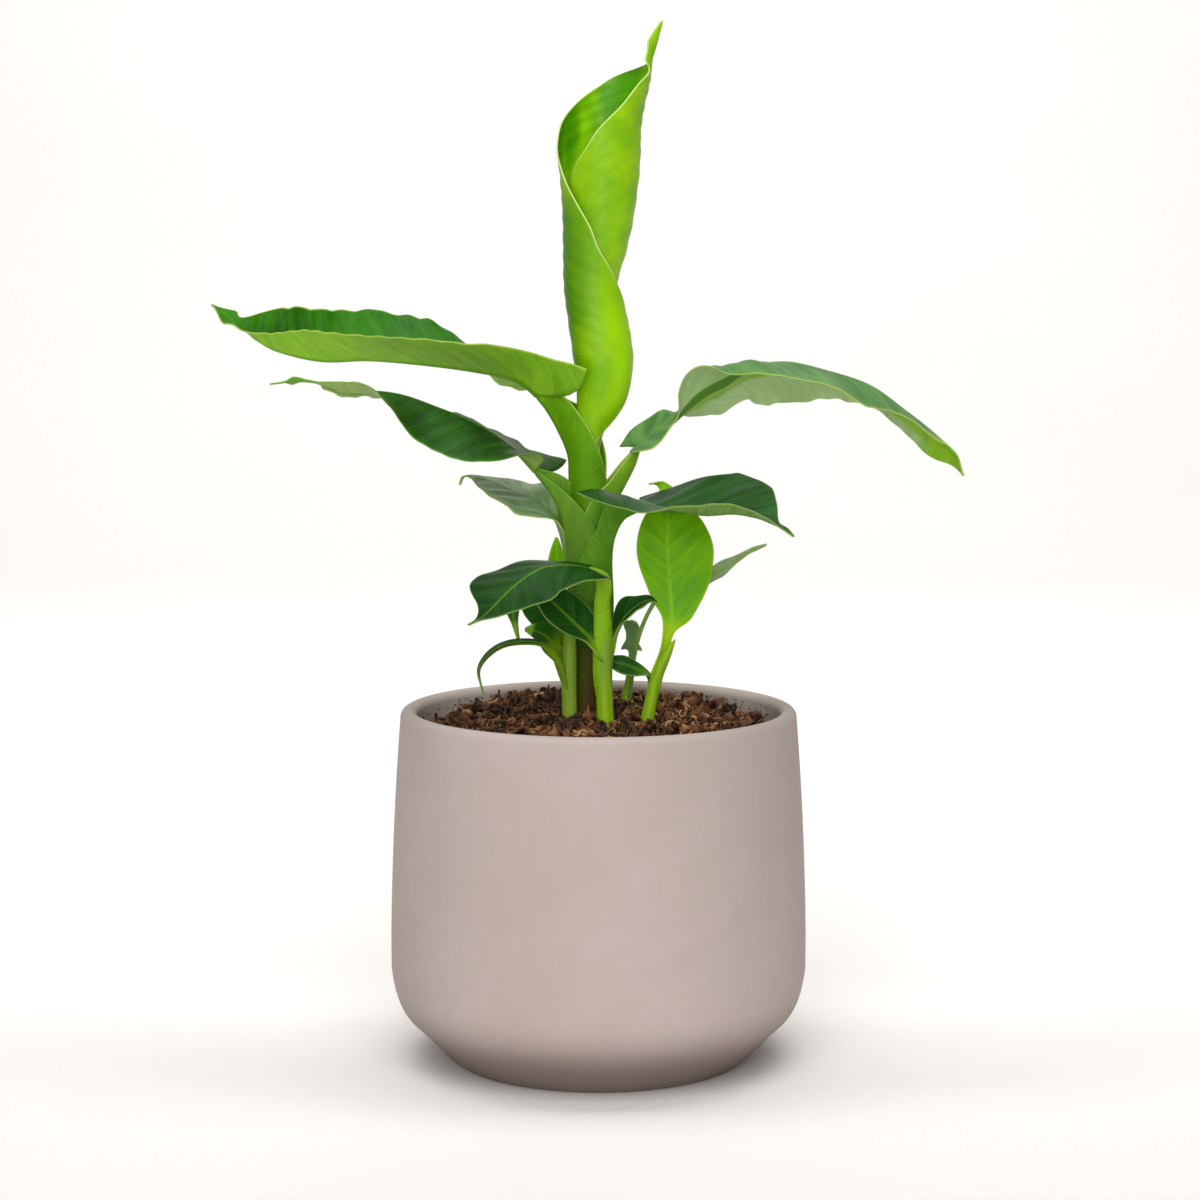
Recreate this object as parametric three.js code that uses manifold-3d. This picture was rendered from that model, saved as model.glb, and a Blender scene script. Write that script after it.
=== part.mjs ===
// Young banana plant growing in a round, footed pot.
// Millimetres, +Z up. The origin is the centre of the pot's flat base; the
// front of the plant faces -Y.
import * as THREE from 'three';
import { mergeVertices } from 'three/addons/utils/BufferGeometryUtils.js';
import Module from 'manifold-3d';

const wasm = await Module();
wasm.setup();

// Pot: outer form, lip and inner form
const POT_HEIGHT = 128;
const FOOT_RADIUS = 52;
const FOOT_EDGE = 1.8;
const CONE_TOP = { radius: 69, height: 16.5 };
const SHOULDER_BEND = { radius: 73.6, height: 21.5 };
const BELLY = { radius: 75, low: 34, high: 46 };
const BELLY_EASE = 0.6;
const NECK = { radius: 71.2, height: 124.6 };
const LIP_RADIUS = 3;
const WALL_BORE = 65.1;
const FLOOR_THICKNESS = 6;
const INNER_FLOOR_RADIUS = 49;
const INNER_CHAMFER = { width: 6, height: 4 };
const INNER_CONE_TOP = 26;
const POT_SIDES = 40;

// Soil
const CLEARANCE = 0.3;
const SOIL_EDGE = 121.6;
const SOIL_CROWN = 124;
const SOIL_BUMP = { x: -20, y: 24, height: 2.2, spread: 14 };
const SOIL_RINGS = 8;
const SOIL_SIDES = POT_SIDES;
const SOIL_ROUGHNESS = 0.8;
const SOIL_FOOT_GAP = 1;
const CHIP_COUNT = 20;
const CHIP_SIZE = [8, 4.4, 1.8];
const CHIP_SIZE_SPREAD = 0.3;
const CHIP_TILT = 0.18;
const CHIP_FIELD = { inner: 8, outer: 56 };
const CHIP_LIFT = 0.3;

// Stems and leaves
const ROOTED_AT = 108;
const STEM_SIDES = 12;
const STEM_STEP = 11.2;
const EDGE_THICKNESS = 0.7;
const TIP_THICKNESS = 0.8;
const RIB_RISE = 0.35;
const RIB_MOST = 0.45;
const RIB_TAPER = 1.5;
const LEAST_WIDTH = 0.3;
const SURFACE_STEP = 8;
const TANGENT_REACH = 0.5;
const ROLL_THICKNESS = 0.8;
const ROLL_AXIS_Y = 7;
const ROLL_PITCH = 2.2;
const ROLL_FULL_PITCH_RADIUS = 6;
const ROLL_MOST_TURN = 400;

const SHORTEST_EDGE = 0.03;
const DEG = Math.PI / 180;

// Reads rows of values at the places s along a curve that passes smoothly
// through every row.
function smoothRows(knots, rows) {
  const last = rows.length - 1;
  const slope = rows.map((row, i) => row.map((_, c) => {
    const rise = (k) => (rows[k + 1][c] - rows[k][c]) / (knots[k + 1] - knots[k]);
    if (i === 0) return rise(0);
    if (i === last) return rise(last - 1);
    const before = knots[i] - knots[i - 1];
    const after = knots[i + 1] - knots[i];
    return (rise(i) * before + rise(i - 1) * after) / (before + after);
  }));
  return (s) => {
    let i = 0;
    while (i < last - 1 && s > knots[i + 1]) i += 1;
    const span = knots[i + 1] - knots[i];
    const u = (s - knots[i]) / span;
    const start = (1 + 2 * u) * (1 - u) ** 2;
    const leave = u * (1 - u) ** 2 * span;
    const end = u * u * (3 - 2 * u);
    const arrive = u * u * (u - 1) * span;
    return rows[i].map((value, c) => value * start + slope[i][c] * leave
      + rows[i + 1][c] * end + slope[i + 1][c] * arrive);
  };
}

function lengthsAlong(rows) {
  const knots = [0];
  for (let i = 1; i < rows.length; i += 1) {
    const [a, b] = [rows[i - 1], rows[i]];
    knots.push(knots[i - 1] + Math.hypot(b[0] - a[0], b[1] - a[1], b[2] - a[2]));
  }
  return knots;
}

// Every knot between two places, with no step longer than the given one.
function placesBetween(knots, from, to, step) {
  const stops = [from, ...knots.filter((k) => k > from + 0.5 && k < to - 0.5), to];
  const places = [from];
  for (let i = 1; i < stops.length; i += 1) {
    const pieces = Math.ceil((stops[i] - stops[i - 1]) / step);
    for (let k = 1; k <= pieces; k += 1) {
      places.push(stops[i - 1] + (stops[i] - stops[i - 1]) * k / pieces);
    }
  }
  return places;
}

function solid(positions, triangles) {
  const geometry = new THREE.BufferGeometry();
  geometry.setAttribute('position', new THREE.Float32BufferAttribute(positions.flat(), 3));
  geometry.setIndex(triangles);
  return toManifold(geometry);
}

function toManifold(geometry) {
  geometry.deleteAttribute('normal');
  geometry.deleteAttribute('uv');
  const merged = mergeVertices(geometry, 1e-4);
  return new wasm.Manifold(new wasm.Mesh({
    numProp: 3,
    vertProperties: new Float32Array(merged.attributes.position.array),
    triVerts: new Uint32Array(merged.index.array),
  }));
}

function toGeometry(body) {
  const mesh = body.getMesh();
  const geometry = new THREE.BufferGeometry();
  geometry.setAttribute('position', new THREE.BufferAttribute(mesh.vertProperties, 3));
  geometry.setIndex(new THREE.BufferAttribute(mesh.triVerts, 1));
  geometry.computeVertexNormals();
  return geometry;
}

function largestBody(body) {
  const largest = body.decompose().reduce((a, b) => (a.volume() > b.volume() ? a : b));
  return largest.simplify(SHORTEST_EDGE);
}

// Closed sheet between an upper and a lower grid of points, joined from one
// slab for each pair of neighbouring rows, so that a sheet that folds back on
// itself stays one sound body. Both faces are split along the same diagonals.
function sheet(upper, lower) {
  const columns = upper[0].length;
  const e = columns - 1;
  const slab = (i) => {
    const positions = [...upper[i], ...upper[i + 1], ...lower[i], ...lower[i + 1]];
    const top = (row, j) => row * columns + j;
    const under = (row, j) => (row + 2) * columns + j;
    const triangles = [];
    const quad = (a, b, c, d) => triangles.push(a, b, c, a, c, d);
    for (let j = 0; j < e; j += 1) {
      quad(top(0, j), top(0, j + 1), top(1, j + 1), top(1, j));
      triangles.push(under(0, j), under(1, j + 1), under(0, j + 1));
      triangles.push(under(0, j), under(1, j), under(1, j + 1));
      quad(top(0, j + 1), top(0, j), under(0, j), under(0, j + 1));
      triangles.push(top(1, j + 1), under(1, j), top(1, j));
      triangles.push(top(1, j + 1), under(1, j + 1), under(1, j));
    }
    quad(top(0, 0), top(1, 0), under(1, 0), under(0, 0));
    quad(top(1, e), top(0, e), under(0, e), under(1, e));
    return solid(positions, triangles);
  };
  let body = slab(0);
  for (let i = 1; i < upper.length - 1; i += 1) body = body.add(slab(i));
  return body;
}

// Round stem through rows of [x, y, z, radius], flat at both ends.
function stem(stations, grow = 0) {
  const rows = stations.map((station) => [...station]);
  rows[0][2] -= grow;
  rows.at(-1)[2] += grow;
  const knots = lengthsAlong(rows);
  const at = smoothRows(knots, rows);
  const places = placesBetween(knots, 0, knots.at(-1), STEM_STEP);
  const positions = [];
  const triangles = [];
  const side = new THREE.Vector3();
  places.forEach((s) => {
    const [cx, cy, cz, r] = at(s);
    const [x1, y1, z1] = at(Math.min(s + TANGENT_REACH, knots.at(-1)));
    const [x0, y0, z0] = at(Math.max(s - TANGENT_REACH, 0));
    const along = new THREE.Vector3(x1 - x0, y1 - y0, z1 - z0).normalize();
    side.set(1, 0, 0).addScaledVector(along, -along.x).normalize();
    const across = new THREE.Vector3().crossVectors(along, side);
    for (let j = 0; j < STEM_SIDES; j += 1) {
      const turn = 2 * Math.PI * j / STEM_SIDES;
      const c = (r + grow) * Math.cos(turn);
      const d = (r + grow) * Math.sin(turn);
      positions.push([cx + side.x * c + across.x * d, cy + side.y * c + across.y * d,
        cz + side.z * c + across.z * d]);
    }
  });
  const ring = (i, j) => i * STEM_SIDES + j % STEM_SIDES;
  for (let i = 0; i < places.length - 1; i += 1) {
    for (let j = 0; j < STEM_SIDES; j += 1) {
      triangles.push(ring(i, j), ring(i, j + 1), ring(i + 1, j + 1));
      triangles.push(ring(i, j), ring(i + 1, j + 1), ring(i + 1, j));
    }
  }
  const foot = positions.length;
  positions.push(rows[0].slice(0, 3), rows.at(-1).slice(0, 3));
  for (let j = 0; j < STEM_SIDES; j += 1) {
    triangles.push(foot, ring(0, j + 1), ring(0, j));
    triangles.push(foot + 1, ring(places.length - 1, j), ring(places.length - 1, j + 1));
  }
  return solid(positions, triangles);
}

// Leaf from its stations along the midrib. A station is
// [x, y, z, left, right, fold left, fold right, curl left, curl right, roll, lean]:
// the midrib's place, the two half widths, the angle at which each half leaves
// the midrib and the further angle through which it bends by its edge, the turn
// of the whole section about the midrib, and how far each half reaches towards
// the tip for each millimetre across. heading is the compass angle in which the
// leaf grows, from +X towards +Y. lobed is the station where the blade starts
// with lobes that reach back along the petiole: the petiole runs up to it with
// its own narrow section.
function leaf(form, from, to = Infinity, grow = 0) {
  const { stations, lobed } = form;
  const knots = lengthsAlong(stations);
  const tip = knots.at(-1);
  if (!lobed) return leafStretch(form, stations, 0, tip, from, to, grow);
  const [x, y, z] = stations[lobed];
  const petiole = [...stations.slice(0, lobed), [x, y, z, ...stations[lobed - 1].slice(3)]];
  const lower = leafStretch(form, petiole, 0, tip, from, to, grow);
  if (to < knots[lobed]) return lower;
  const blade = stations.slice(lobed);
  return lower.add(leafStretch(form, blade, knots[lobed], tip, from, to, grow));
}

// One stretch of a leaf, which starts at the place start on its midrib.
function leafStretch(form, stations, start, tip, from, to, grow) {
  const { heading, halfCells = 4, stalk = 1.9 } = form;
  const knots = lengthsAlong(stations);
  const at = smoothRows(knots, stations);
  const end = knots.at(-1);
  const low = Math.max(from - start, 0);
  const places = placesBetween(knots, low, Math.min(to - start, end), SURFACE_STEP);
  const sideways = new THREE.Vector3(Math.sin(heading * DEG), -Math.cos(heading * DEG), 0);
  const upper = [];
  const lower = [];
  places.forEach((s) => {
    const [x, y, z, left, right, foldL, foldR, curlL, curlR, roll, lean] = at(s);
    const [x1, y1, z1] = at(Math.min(s + TANGENT_REACH, end));
    const [x0, y0, z0] = at(Math.max(s - TANGENT_REACH, 0));
    const along = new THREE.Vector3(x1 - x0, y1 - y0, z1 - z0).normalize();
    const level = new THREE.Vector3().crossVectors(sideways, along).normalize();
    const beside = new THREE.Vector3().crossVectors(along, level);
    const up = level.clone().multiplyScalar(Math.cos(roll * DEG));
    up.addScaledVector(beside, Math.sin(roll * DEG));
    const right1 = beside.multiplyScalar(Math.cos(roll * DEG));
    right1.addScaledVector(level, -Math.sin(roll * DEG));
    const rib = stalk + (TIP_THICKNESS - stalk) * (start + s) / tip;
    const upperRow = [];
    const lowerRow = [];
    for (let j = -halfCells; j <= halfCells; j += 1) {
      const q = Math.abs(j) / halfCells;
      const hand = j < 0 ? -1 : 1;
      const width = Math.max(j < 0 ? left : right, LEAST_WIDTH) + grow;
      const fold = (j < 0 ? foldL : foldR) * DEG;
      const curl = (j < 0 ? curlL : curlR) * DEG || 1e-3;
      const turn = fold + curl * q;
      const across = width * (Math.sin(turn) - Math.sin(fold)) / curl;
      const rise = width * (Math.cos(fold) - Math.cos(turn)) / curl;
      const ribbed = Math.min(rib - EDGE_THICKNESS, RIB_MOST * width) * (1 - q) ** RIB_TAPER;
      const skin = EDGE_THICKNESS / 2 + grow;
      const tilt = j === 0 ? 0 : hand * turn;
      [skin + RIB_RISE * ribbed, -skin - (1 - RIB_RISE) * ribbed].forEach((offset, face) => {
        const b = hand * across - Math.sin(tilt) * offset;
        const n = rise + Math.cos(tilt) * offset;
        const t = lean * across;
        const point = [x + right1.x * b + up.x * n + along.x * t,
          y + right1.y * b + up.y * n + along.y * t,
          z + right1.z * b + up.z * n + along.z * t];
        (face ? lowerRow : upperRow).push(point);
      });
    }
    upper.push(upperRow);
    lower.push(lowerRow);
  });
  return sheet(upper, lower);
}

// Rolled young leaf from rows of [height, centre x, radius, inner margin angle,
// outer margin angle]. Seen from above, the blade winds outwards from its inner
// to its outer margin, and each full turn lies ROLL_PITCH further out.
function rolledLeaf(rows, grow = 0, cells = 13) {
  const knots = rows.map((row) => row[0]);
  const at = smoothRows(knots, rows);
  const places = placesBetween(knots, knots[0], knots.at(-1), SURFACE_STEP);
  const inner = [];
  const outer = [];
  places.forEach((height) => {
    const [z, centre, radius, innermost, to] = at(height);
    const from = Math.max(innermost, to - ROLL_MOST_TURN);
    const pitch = ROLL_PITCH * Math.min(radius / ROLL_FULL_PITCH_RADIUS, 1);
    const innerRow = [];
    const outerRow = [];
    for (let j = 0; j <= cells; j += 1) {
      const angle = (from + (to - from) * j / cells) * DEG;
      const reach = radius + pitch * (angle / (2 * Math.PI) - 0.25);
      [-1, 1].forEach((side, face) => {
        const r = reach + side * (ROLL_THICKNESS / 2 + grow);
        const point = [centre + r * Math.cos(angle), ROLL_AXIS_Y + r * Math.sin(angle), z];
        (face ? outerRow : innerRow).push(point);
      });
    }
    inner.push(innerRow);
    outer.push(outerRow);
  });
  return sheet(outer, inner);
}

const group = new THREE.Group();

function addPart(name, body, color, roughness) {
  const material = new THREE.MeshStandardMaterial({ color, roughness, metalness: 0 });
  const mesh = new THREE.Mesh(toGeometry(body), material);
  mesh.name = name;
  group.add(mesh);
}

// Pot: one turned shell with a footed base, full belly and round lip
function potProfile() {
  const outline = new THREE.Path();
  outline.moveTo(0, 0);
  outline.lineTo(FOOT_RADIUS - FOOT_EDGE, 0);
  outline.quadraticCurveTo(FOOT_RADIUS, 0, FOOT_RADIUS + FOOT_EDGE, FOOT_EDGE);
  outline.lineTo(CONE_TOP.radius, CONE_TOP.height);
  outline.quadraticCurveTo(SHOULDER_BEND.radius, SHOULDER_BEND.height, BELLY.radius, BELLY.low);
  outline.lineTo(BELLY.radius, BELLY.high);
  outline.quadraticCurveTo(BELLY.radius - BELLY_EASE, (BELLY.high + NECK.height) / 2,
    NECK.radius, NECK.height);
  outline.absarc(NECK.radius - LIP_RADIUS, POT_HEIGHT - LIP_RADIUS, LIP_RADIUS, 0, Math.PI, false);
  outline.lineTo(WALL_BORE, INNER_CONE_TOP);
  outline.lineTo(INNER_FLOOR_RADIUS + INNER_CHAMFER.width, FLOOR_THICKNESS + INNER_CHAMFER.height);
  outline.lineTo(INNER_FLOOR_RADIUS, FLOOR_THICKNESS);
  outline.lineTo(0, FLOOR_THICKNESS);
  const points = outline.getPoints(4);
  return points.filter((p, i) => i === 0 || p.distanceTo(points[i - 1]) > 0.05);
}

function lathe(profile, sides) {
  const geometry = new THREE.LatheGeometry(profile, sides);
  geometry.rotateX(Math.PI / 2);
  return toManifold(geometry);
}

// Stems, each with rows of [x, y, z, radius]
const stems = {
  stem_main: [[-4, 10, ROOTED_AT, 6.4], [-4, 9.5, 124, 6.4], [-3.6, 9, 145, 6.2],
    [-3, 8, 175, 6], [-3, 7, 198, 5.8], [-3.4, 7, 210, 5.6]],
  stem_front: [[2.2, -19, ROOTED_AT, 3], [2.4, -19, 126, 3], [1.8, -18.5, 142, 2.9],
    [1.8, -18, 156, 2.6]],
  stem_left: [[-10.4, 1.5, ROOTED_AT, 2.6], [-10.4, 1.5, 124, 2.7], [-10.6, 2, 138, 2.8],
    [-10.6, 2.4, 146, 2.2]],
  stem_back: [[8.8, 25, ROOTED_AT, 1.8], [9.4, 25, 124, 1.7], [11, 25, 132, 1.6],
    [12, 24.6, 139, 1.4]],
  stem_right: [[16.6, -10, ROOTED_AT, 2.5], [17, -10, 122, 2.5], [18.6, -9.4, 131, 2.3],
    [21, -8.8, 141, 2.2], [22.6, -8.4, 146.5, 2]],
};

// Leaves: the stem each grows on, and how many of its first stations are the
// sheath that is one with the stem
const leaves = {
  leaf_upper_left: { on: 'stem_main', sheathed: 0, lobed: 4, heading: 172, stalk: 2.1, stations: [
    [-9.5, 7, 210.4, 13, 13, 15, 15, 115, 115, 0, 0],
    [-10, 7, 218.5, 13, 13, 15, 15, 95, 95, 0, 0],
    [-14, 8, 228, 10, 10, 30, 30, 60, 60, 0, 0],
    [-18.5, 9, 235.5, 8, 7, 50, 45, 40, 40, 0, 0],
    [-22, 10, 239.5, 23, 10, 56, 40, 5, 20, 0, -0.5],
    [-26, 11, 243, 18, 13, 50, 5, 5, 0, 0, -0.3],
    [-30.5, 12, 245.5, 18, 16, 38, -8, 5, -15, 0, -0.1],
    [-39, 14, 247.5, 21, 21, 22, -8, 0, -10, 0, 0],
    [-57, 17, 250, 24, 24, 22, 20, 0, 10, 0, 0.1],
    [-82.5, 21, 252, 23, 25, 24, 40, 0, 10, 0, 0.1],
    [-100.5, 24, 251.5, 19, 22, 36, 55, 0, 10, 0, 0.1],
    [-117, 27, 255, 11, 16, 36, 72, 0, 10, 0, 0.1],
    [-124.5, 28, 259, 6, 11, 30, 80, 0, 0, 0, 0],
    [-130.5, 29, 264, 1.2, 2.5, 30, 60, 0, 0, 0, 0],
    [-134.5, 30, 267, 2.5, 3.5, 10, 60, 0, 0, 0, 0],
    [-141, 31, 271.5, 0.4, 0.4, 0, 0, 0, 0, 0, 0]] },
  leaf_middle_left: { on: 'stem_main', sheathed: 2, lobed: 4, heading: 190, stalk: 2, stations: [
    [-9.5, 1, 179, 14, 13, 10, 10, 100, 100, 0, 0],
    [-10.5, 1, 188.5, 14, 12, 15, 15, 90, 90, 0, 0],
    [-12.5, 2, 197.5, 9, 9, 30, 30, 60, 60, 0, 0],
    [-16.5, 2, 205.5, 5, 6, 40, 40, 40, 40, 0, 0],
    [-22.5, 1, 213, 7, 17, 45, 35, 20, 10, 0, -0.3],
    [-29.5, -1, 220.5, 16, 20, -4, 8, -10, 0, 0, -0.1],
    [-43.5, -4, 230, 22, 22, -36, 2, 0, 0, 0, 0],
    [-59.5, -8, 237, 22, 21, -40, -4, 0, 0, 0, 0],
    [-69, -11, 241.5, 18, 17, -30, -6, 0, 0, 0, 0.1],
    [-78, -14, 242, 14, 12, -2, -6, 0, 0, 0, 0.1],
    [-83, -15, 241.5, 12, 10, 20, -6, 0, 0, 0, 0.1],
    [-89.5, -16, 241.5, 10, 8, 26, 0, 0, 0, 0, 0.1],
    [-99, -18, 245.5, 1.5, 1.5, 10, 10, 0, 0, 0, 0],
    [-105, -19, 246, 2.6, 2.6, 25, -25, 0, 0, 0, 0],
    [-110.5, -20, 245.5, 0.6, 0.6, 0, 0, 0, 0, 0, 0],
    [-114.5, -21, 245, 0.3, 0.3, 0, 0, 0, 0, 0, 0]] },
  leaf_lower_left: { on: 'stem_main', sheathed: 1, heading: 155, halfCells: 3, stations: [
    [-9.4, 6.2, 168, 5, 5, 30, 30, 45, 45, 0, 0],
    [-11, 7, 180, 4, 4, 30, 30, 55, 55, 0, 0],
    [-14.5, 9, 193.5, 6, 6, 15, 30, 20, 30, 0, 0],
    [-18, 10, 197.5, 10, 12, -5, 30, 0, 0, 0, 0],
    [-23, 12, 201.5, 15, 17, -12, 18, 0, 0, 0, 0],
    [-31.5, 15, 205, 14, 16, -7, 3, 0, 0, 0, 0],
    [-39.5, 18, 208, 9, 10, -10, 2, 0, 0, 0, 0],
    [-45, 20, 209.5, 2.5, 3, -14, 0, 0, 0, 0, 0],
    [-49, 21, 209.5, 1, 1, 0, 0, 0, 0, 0, 0],
    [-50.5, 22, 206.5, 0.4, 0.4, 0, 0, 0, 0, 0, 0]] },
  leaf_upper_right: { on: 'stem_main', sheathed: 2, lobed: 3, heading: 12, stalk: 2.1, stations: [
    [1, 6, 199.5, 11, 11, 15, 15, 95, 95, 0, 0],
    [4.5, 7, 206.5, 9, 9, 25, 25, 66, 66, 0, 0],
    [10, 8, 215, 4.5, 4.5, 40, 40, 50, 50, 0, 0],
    [15, 8, 221.5, 6, 8, 35, 30, 10, -40, 0, -0.9],
    [20.5, 9, 226.5, 11, 12, 30, 0, 0, -20, 0, -0.4],
    [26.5, 9, 231, 7, 6, 5, 5, 0, -10, 0, 0],
    [31.5, 10, 235.5, 10, 14, -22, 42, 0, 0, 0, 0],
    [38, 11, 240.5, 15, 18, -32, 34, 0, 0, 0, 0],
    [45.5, 12, 244, 20, 19, -34, 18, 0, 0, 0, 0],
    [53.5, 13, 249, 23, 19, -38, -6, 0, 0, 0, 0],
    [67, 15, 251, 23, 19, -40, -15, 0, 0, 0, 0],
    [81.5, 17, 248, 19, 17, -36, -15, 0, 0, 0, 0],
    [98, 20, 242.5, 15, 15, -26, -20, 0, 0, 0, 0],
    [111, 22, 233.5, 10, 9, -26, -12, 0, 0, 0, 0],
    [122.5, 23, 224.5, 7, 6, -30, -8, 0, 0, 0, 0],
    [129.5, 24, 217.5, 3, 2.5, -20, 0, 0, 0, 0, 0],
    [133, 24, 209.5, 0.4, 0.4, 0, 0, 0, 0, 0, 0]] },
  leaf_middle_right: { on: 'stem_main', sheathed: 2, lobed: 3, heading: -38, stalk: 2, stations: [
    [2, -1, 181.5, 10, 10, 10, 10, 90, 90, 0, 0],
    [4.5, -2, 189.5, 9, 9, 20, 20, 70, 70, 0, 0],
    [8.5, -4, 196.5, 5, 5, 35, 35, 50, 50, 0, 0],
    [14, -8, 200, 10, 21, 20, 58, 0, -70, 0, -0.7],
    [20, -13, 200.5, 17, 22, 25, 40, 0, -50, 0, -0.2],
    [28.5, -20, 200.5, 21, 20, 32, 22, 0, -10, 0, 0],
    [37.5, -27, 200, 24, 15, 34, 14, 0, 0, 0, 0],
    [47, -34, 201, 21, 11, 24, 12, 0, 0, 0, 0],
    [55, -40, 200, 12, 7, 24, 12, 0, 0, 0, 0],
    [60.5, -44, 198, 3.5, 3, 20, 10, 0, 0, 0, 0],
    [64, -47, 196.5, 1.6, 1.6, 10, 0, 0, 0, 0, 0],
    [66.5, -50, 194.5, 0.4, 0.4, 0, 0, 0, 0, 0, 0]] },
  leaf_front_left: { on: 'stem_front', sheathed: 1, lobed: 3, heading: 205, stations: [
    [2, -18, 154.5, 3, 3, 30, 30, 80, 80, 0, 0],
    [1.5, -18, 169, 3.5, 3.5, 30, 30, 80, 80, 0, 0],
    [0.5, -18, 176.5, 4, 4, 30, 30, 60, 60, 0, 0],
    [-3.5, -19, 180, 10, 8, -10, 10, 0, 0, 0, -0.6],
    [-10, -22, 181.5, 13, 12, -28, 2, 0, 0, 0, -0.2],
    [-19.5, -27, 181, 17, 16, -34, 0, 0, 0, 0, 0],
    [-27, -32, 177, 17, 18, -30, 0, 0, 0, 0, 0],
    [-33.5, -37, 171.5, 13, 18, -20, 5, 0, 0, 0, 0],
    [-38, -40, 167, 6, 12, -10, 10, 0, 0, 0, 0],
    [-41.5, -41, 164.5, 1.5, 3, 0, 10, 0, 0, 0, 0],
    [-45, -42, 163, 0.4, 0.4, 0, 0, 0, 0, 0, 0]] },
  leaf_front_low: { on: 'stem_front', sheathed: 1, heading: 200, halfCells: 3, stations: [
    [1.5, -18, 137, 2.6, 2.6, 30, 30, 80, 80, -30, 0],
    [1, -19, 146, 2.6, 2.6, 30, 30, 80, 80, -40, 0],
    [0, -20, 150.5, 3, 3, 20, 20, 20, 20, -60, 0],
    [-3.5, -21, 156, 5, 4.5, 5, 5, 0, 0, -70, 0],
    [-9, -22, 161.5, 7, 7.5, 5, 5, 0, 0, -70, 0],
    [-14.5, -23, 167, 7, 7.5, 5, 5, 0, 0, -70, 0],
    [-19.5, -24, 171.5, 4.5, 4.5, 5, 5, 0, 0, -70, 0],
    [-23.5, -25, 174.5, 0.5, 0.5, 0, 0, 0, 0, -70, 0]] },
  leaf_front_right: { on: 'stem_front', sheathed: 2, heading: 5, halfCells: 3, stalk: 1.8,
    stations: [
      [2.6, -17, 135, 1.8, 1.8, 30, 30, 60, 60, 0, 0],
      [3.6, -15.4, 143, 1.8, 1.8, 30, 30, 60, 60, 0, 0],
      [5, -14.4, 150.5, 1.8, 1.8, 30, 30, 50, 50, 0, 0],
      [6.5, -13.6, 157, 3.5, 2.5, 30, 10, 10, 0, 0, -0.3],
      [10, -13, 162.5, 6.5, 4, 40, -5, 0, 0, 0, -0.2],
      [14.5, -13, 166.5, 4.5, 4, 35, -10, 0, 0, 0, 0],
      [18.4, -13.4, 168.2, 2.6, 2.4, 30, -10, 0, 0, 0, 0],
      [20.9, -13.8, 167.4, 0.4, 0.4, 0, 0, 0, 0, 0, 0]] },
  leaf_left_arching: { on: 'stem_left', sheathed: 1, heading: 190, halfCells: 2, stalk: 1.6,
    stations: [
      [-12, 0.6, 133, 2.2, 2.2, 30, 30, 60, 60, 0, 0],
      [-13.2, -1.2, 140.5, 2.2, 2.2, 30, 30, 40, 40, 0, 0],
      [-15.8, -2.8, 146.5, 2.4, 2.4, 20, 20, 20, 20, 0, 0],
      [-20, -4.4, 151, 3, 3, 18, 18, 0, 0, 0, 0],
      [-27, -6, 152, 3.5, 3.5, 18, 18, 0, 0, 0, 0],
      [-34, -8, 151, 3.2, 3.2, 18, 18, 0, 0, 0, 0],
      [-39.5, -10, 147.5, 2.6, 2.6, 18, 18, 0, 0, 0, 0],
      [-42.5, -11, 142.5, 1.8, 1.8, 10, 10, 0, 0, 0, 0],
      [-41, -12, 134.5, 0.4, 0.4, 0, 0, 0, 0, 0, 0]] },
  leaf_left_low: { on: 'stem_left', sheathed: 1, heading: 185, halfCells: 2, stalk: 1.6,
    stations: [
      [-11.5, 2.4, 134, 2, 2, 30, 30, 60, 60, 0, 0],
      [-15, 2.4, 143.4, 2.2, 2.2, 10, 10, 20, 20, -20, 0],
      [-16.2, 1.8, 148.5, 4, 3, 5, 5, 0, 0, -55, 0],
      [-18, 1.6, 152.5, 4.5, 5, 5, 5, 0, 0, -60, 0],
      [-22, 1.6, 155, 3, 4, 5, 5, 0, 0, -60, 0],
      [-26.5, 1.6, 156, 0.4, 0.4, 0, 0, 0, 0, -60, 0]] },
  leaf_left_middle: { on: 'stem_left', sheathed: 2, heading: 170, halfCells: 3, stalk: 1.6,
    stations: [
      [-10.8, 2.8, 129, 2, 2, 30, 30, 60, 60, 0, 0],
      [-11.2, 5, 138, 2, 2, 30, 30, 60, 60, 0, 0],
      [-12, 7.4, 146, 2.2, 2.2, 25, 25, 50, 50, -20, 0],
      [-14.8, 9, 154.5, 5, 4, 5, 5, 0, 0, -60, 0],
      [-20, 10, 161.5, 6.5, 6.5, 5, 5, 0, 0, -60, 0],
      [-25.5, 10.5, 166.5, 5.4, 5.6, 5, 5, 0, 0, -55, 0],
      [-30, 10.5, 167.3, 1.9, 2.4, 10, 10, 0, 0, -45, 0],
      [-32, 10, 163, 2.4, 2.4, 25, 25, 40, 40, -30, 0],
      [-31, 10, 157.5, 1.3, 1.3, 20, 20, 40, 40, -20, 0],
      [-29, 10, 151, 0.4, 0.4, 0, 0, 0, 0, 0, 0]] },
  leaf_left_upright: { on: 'stem_left', sheathed: 2, heading: 90, halfCells: 2, stalk: 1.6,
    stations: [
      [-10.6, 2.8, 125, 1.8, 1.8, 30, 30, 60, 60, 0, 0],
      [-12, 7, 135, 1.8, 1.8, 30, 30, 60, 60, 0, 0],
      [-13, 12, 147.5, 1.8, 1.8, 30, 30, 60, 60, 0, 0],
      [-14, 15, 163.5, 2, 2, 25, 25, 30, 30, 0, 0],
      [-14.8, 15.5, 172.5, 3, 3, 15, 15, 10, 10, 0, 0],
      [-15.2, 15, 178, 3.2, 3.2, 12, 12, 0, 0, 0, 0],
      [-15.2, 14, 183.5, 2, 2, 10, 10, 0, 0, 0, 0],
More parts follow.
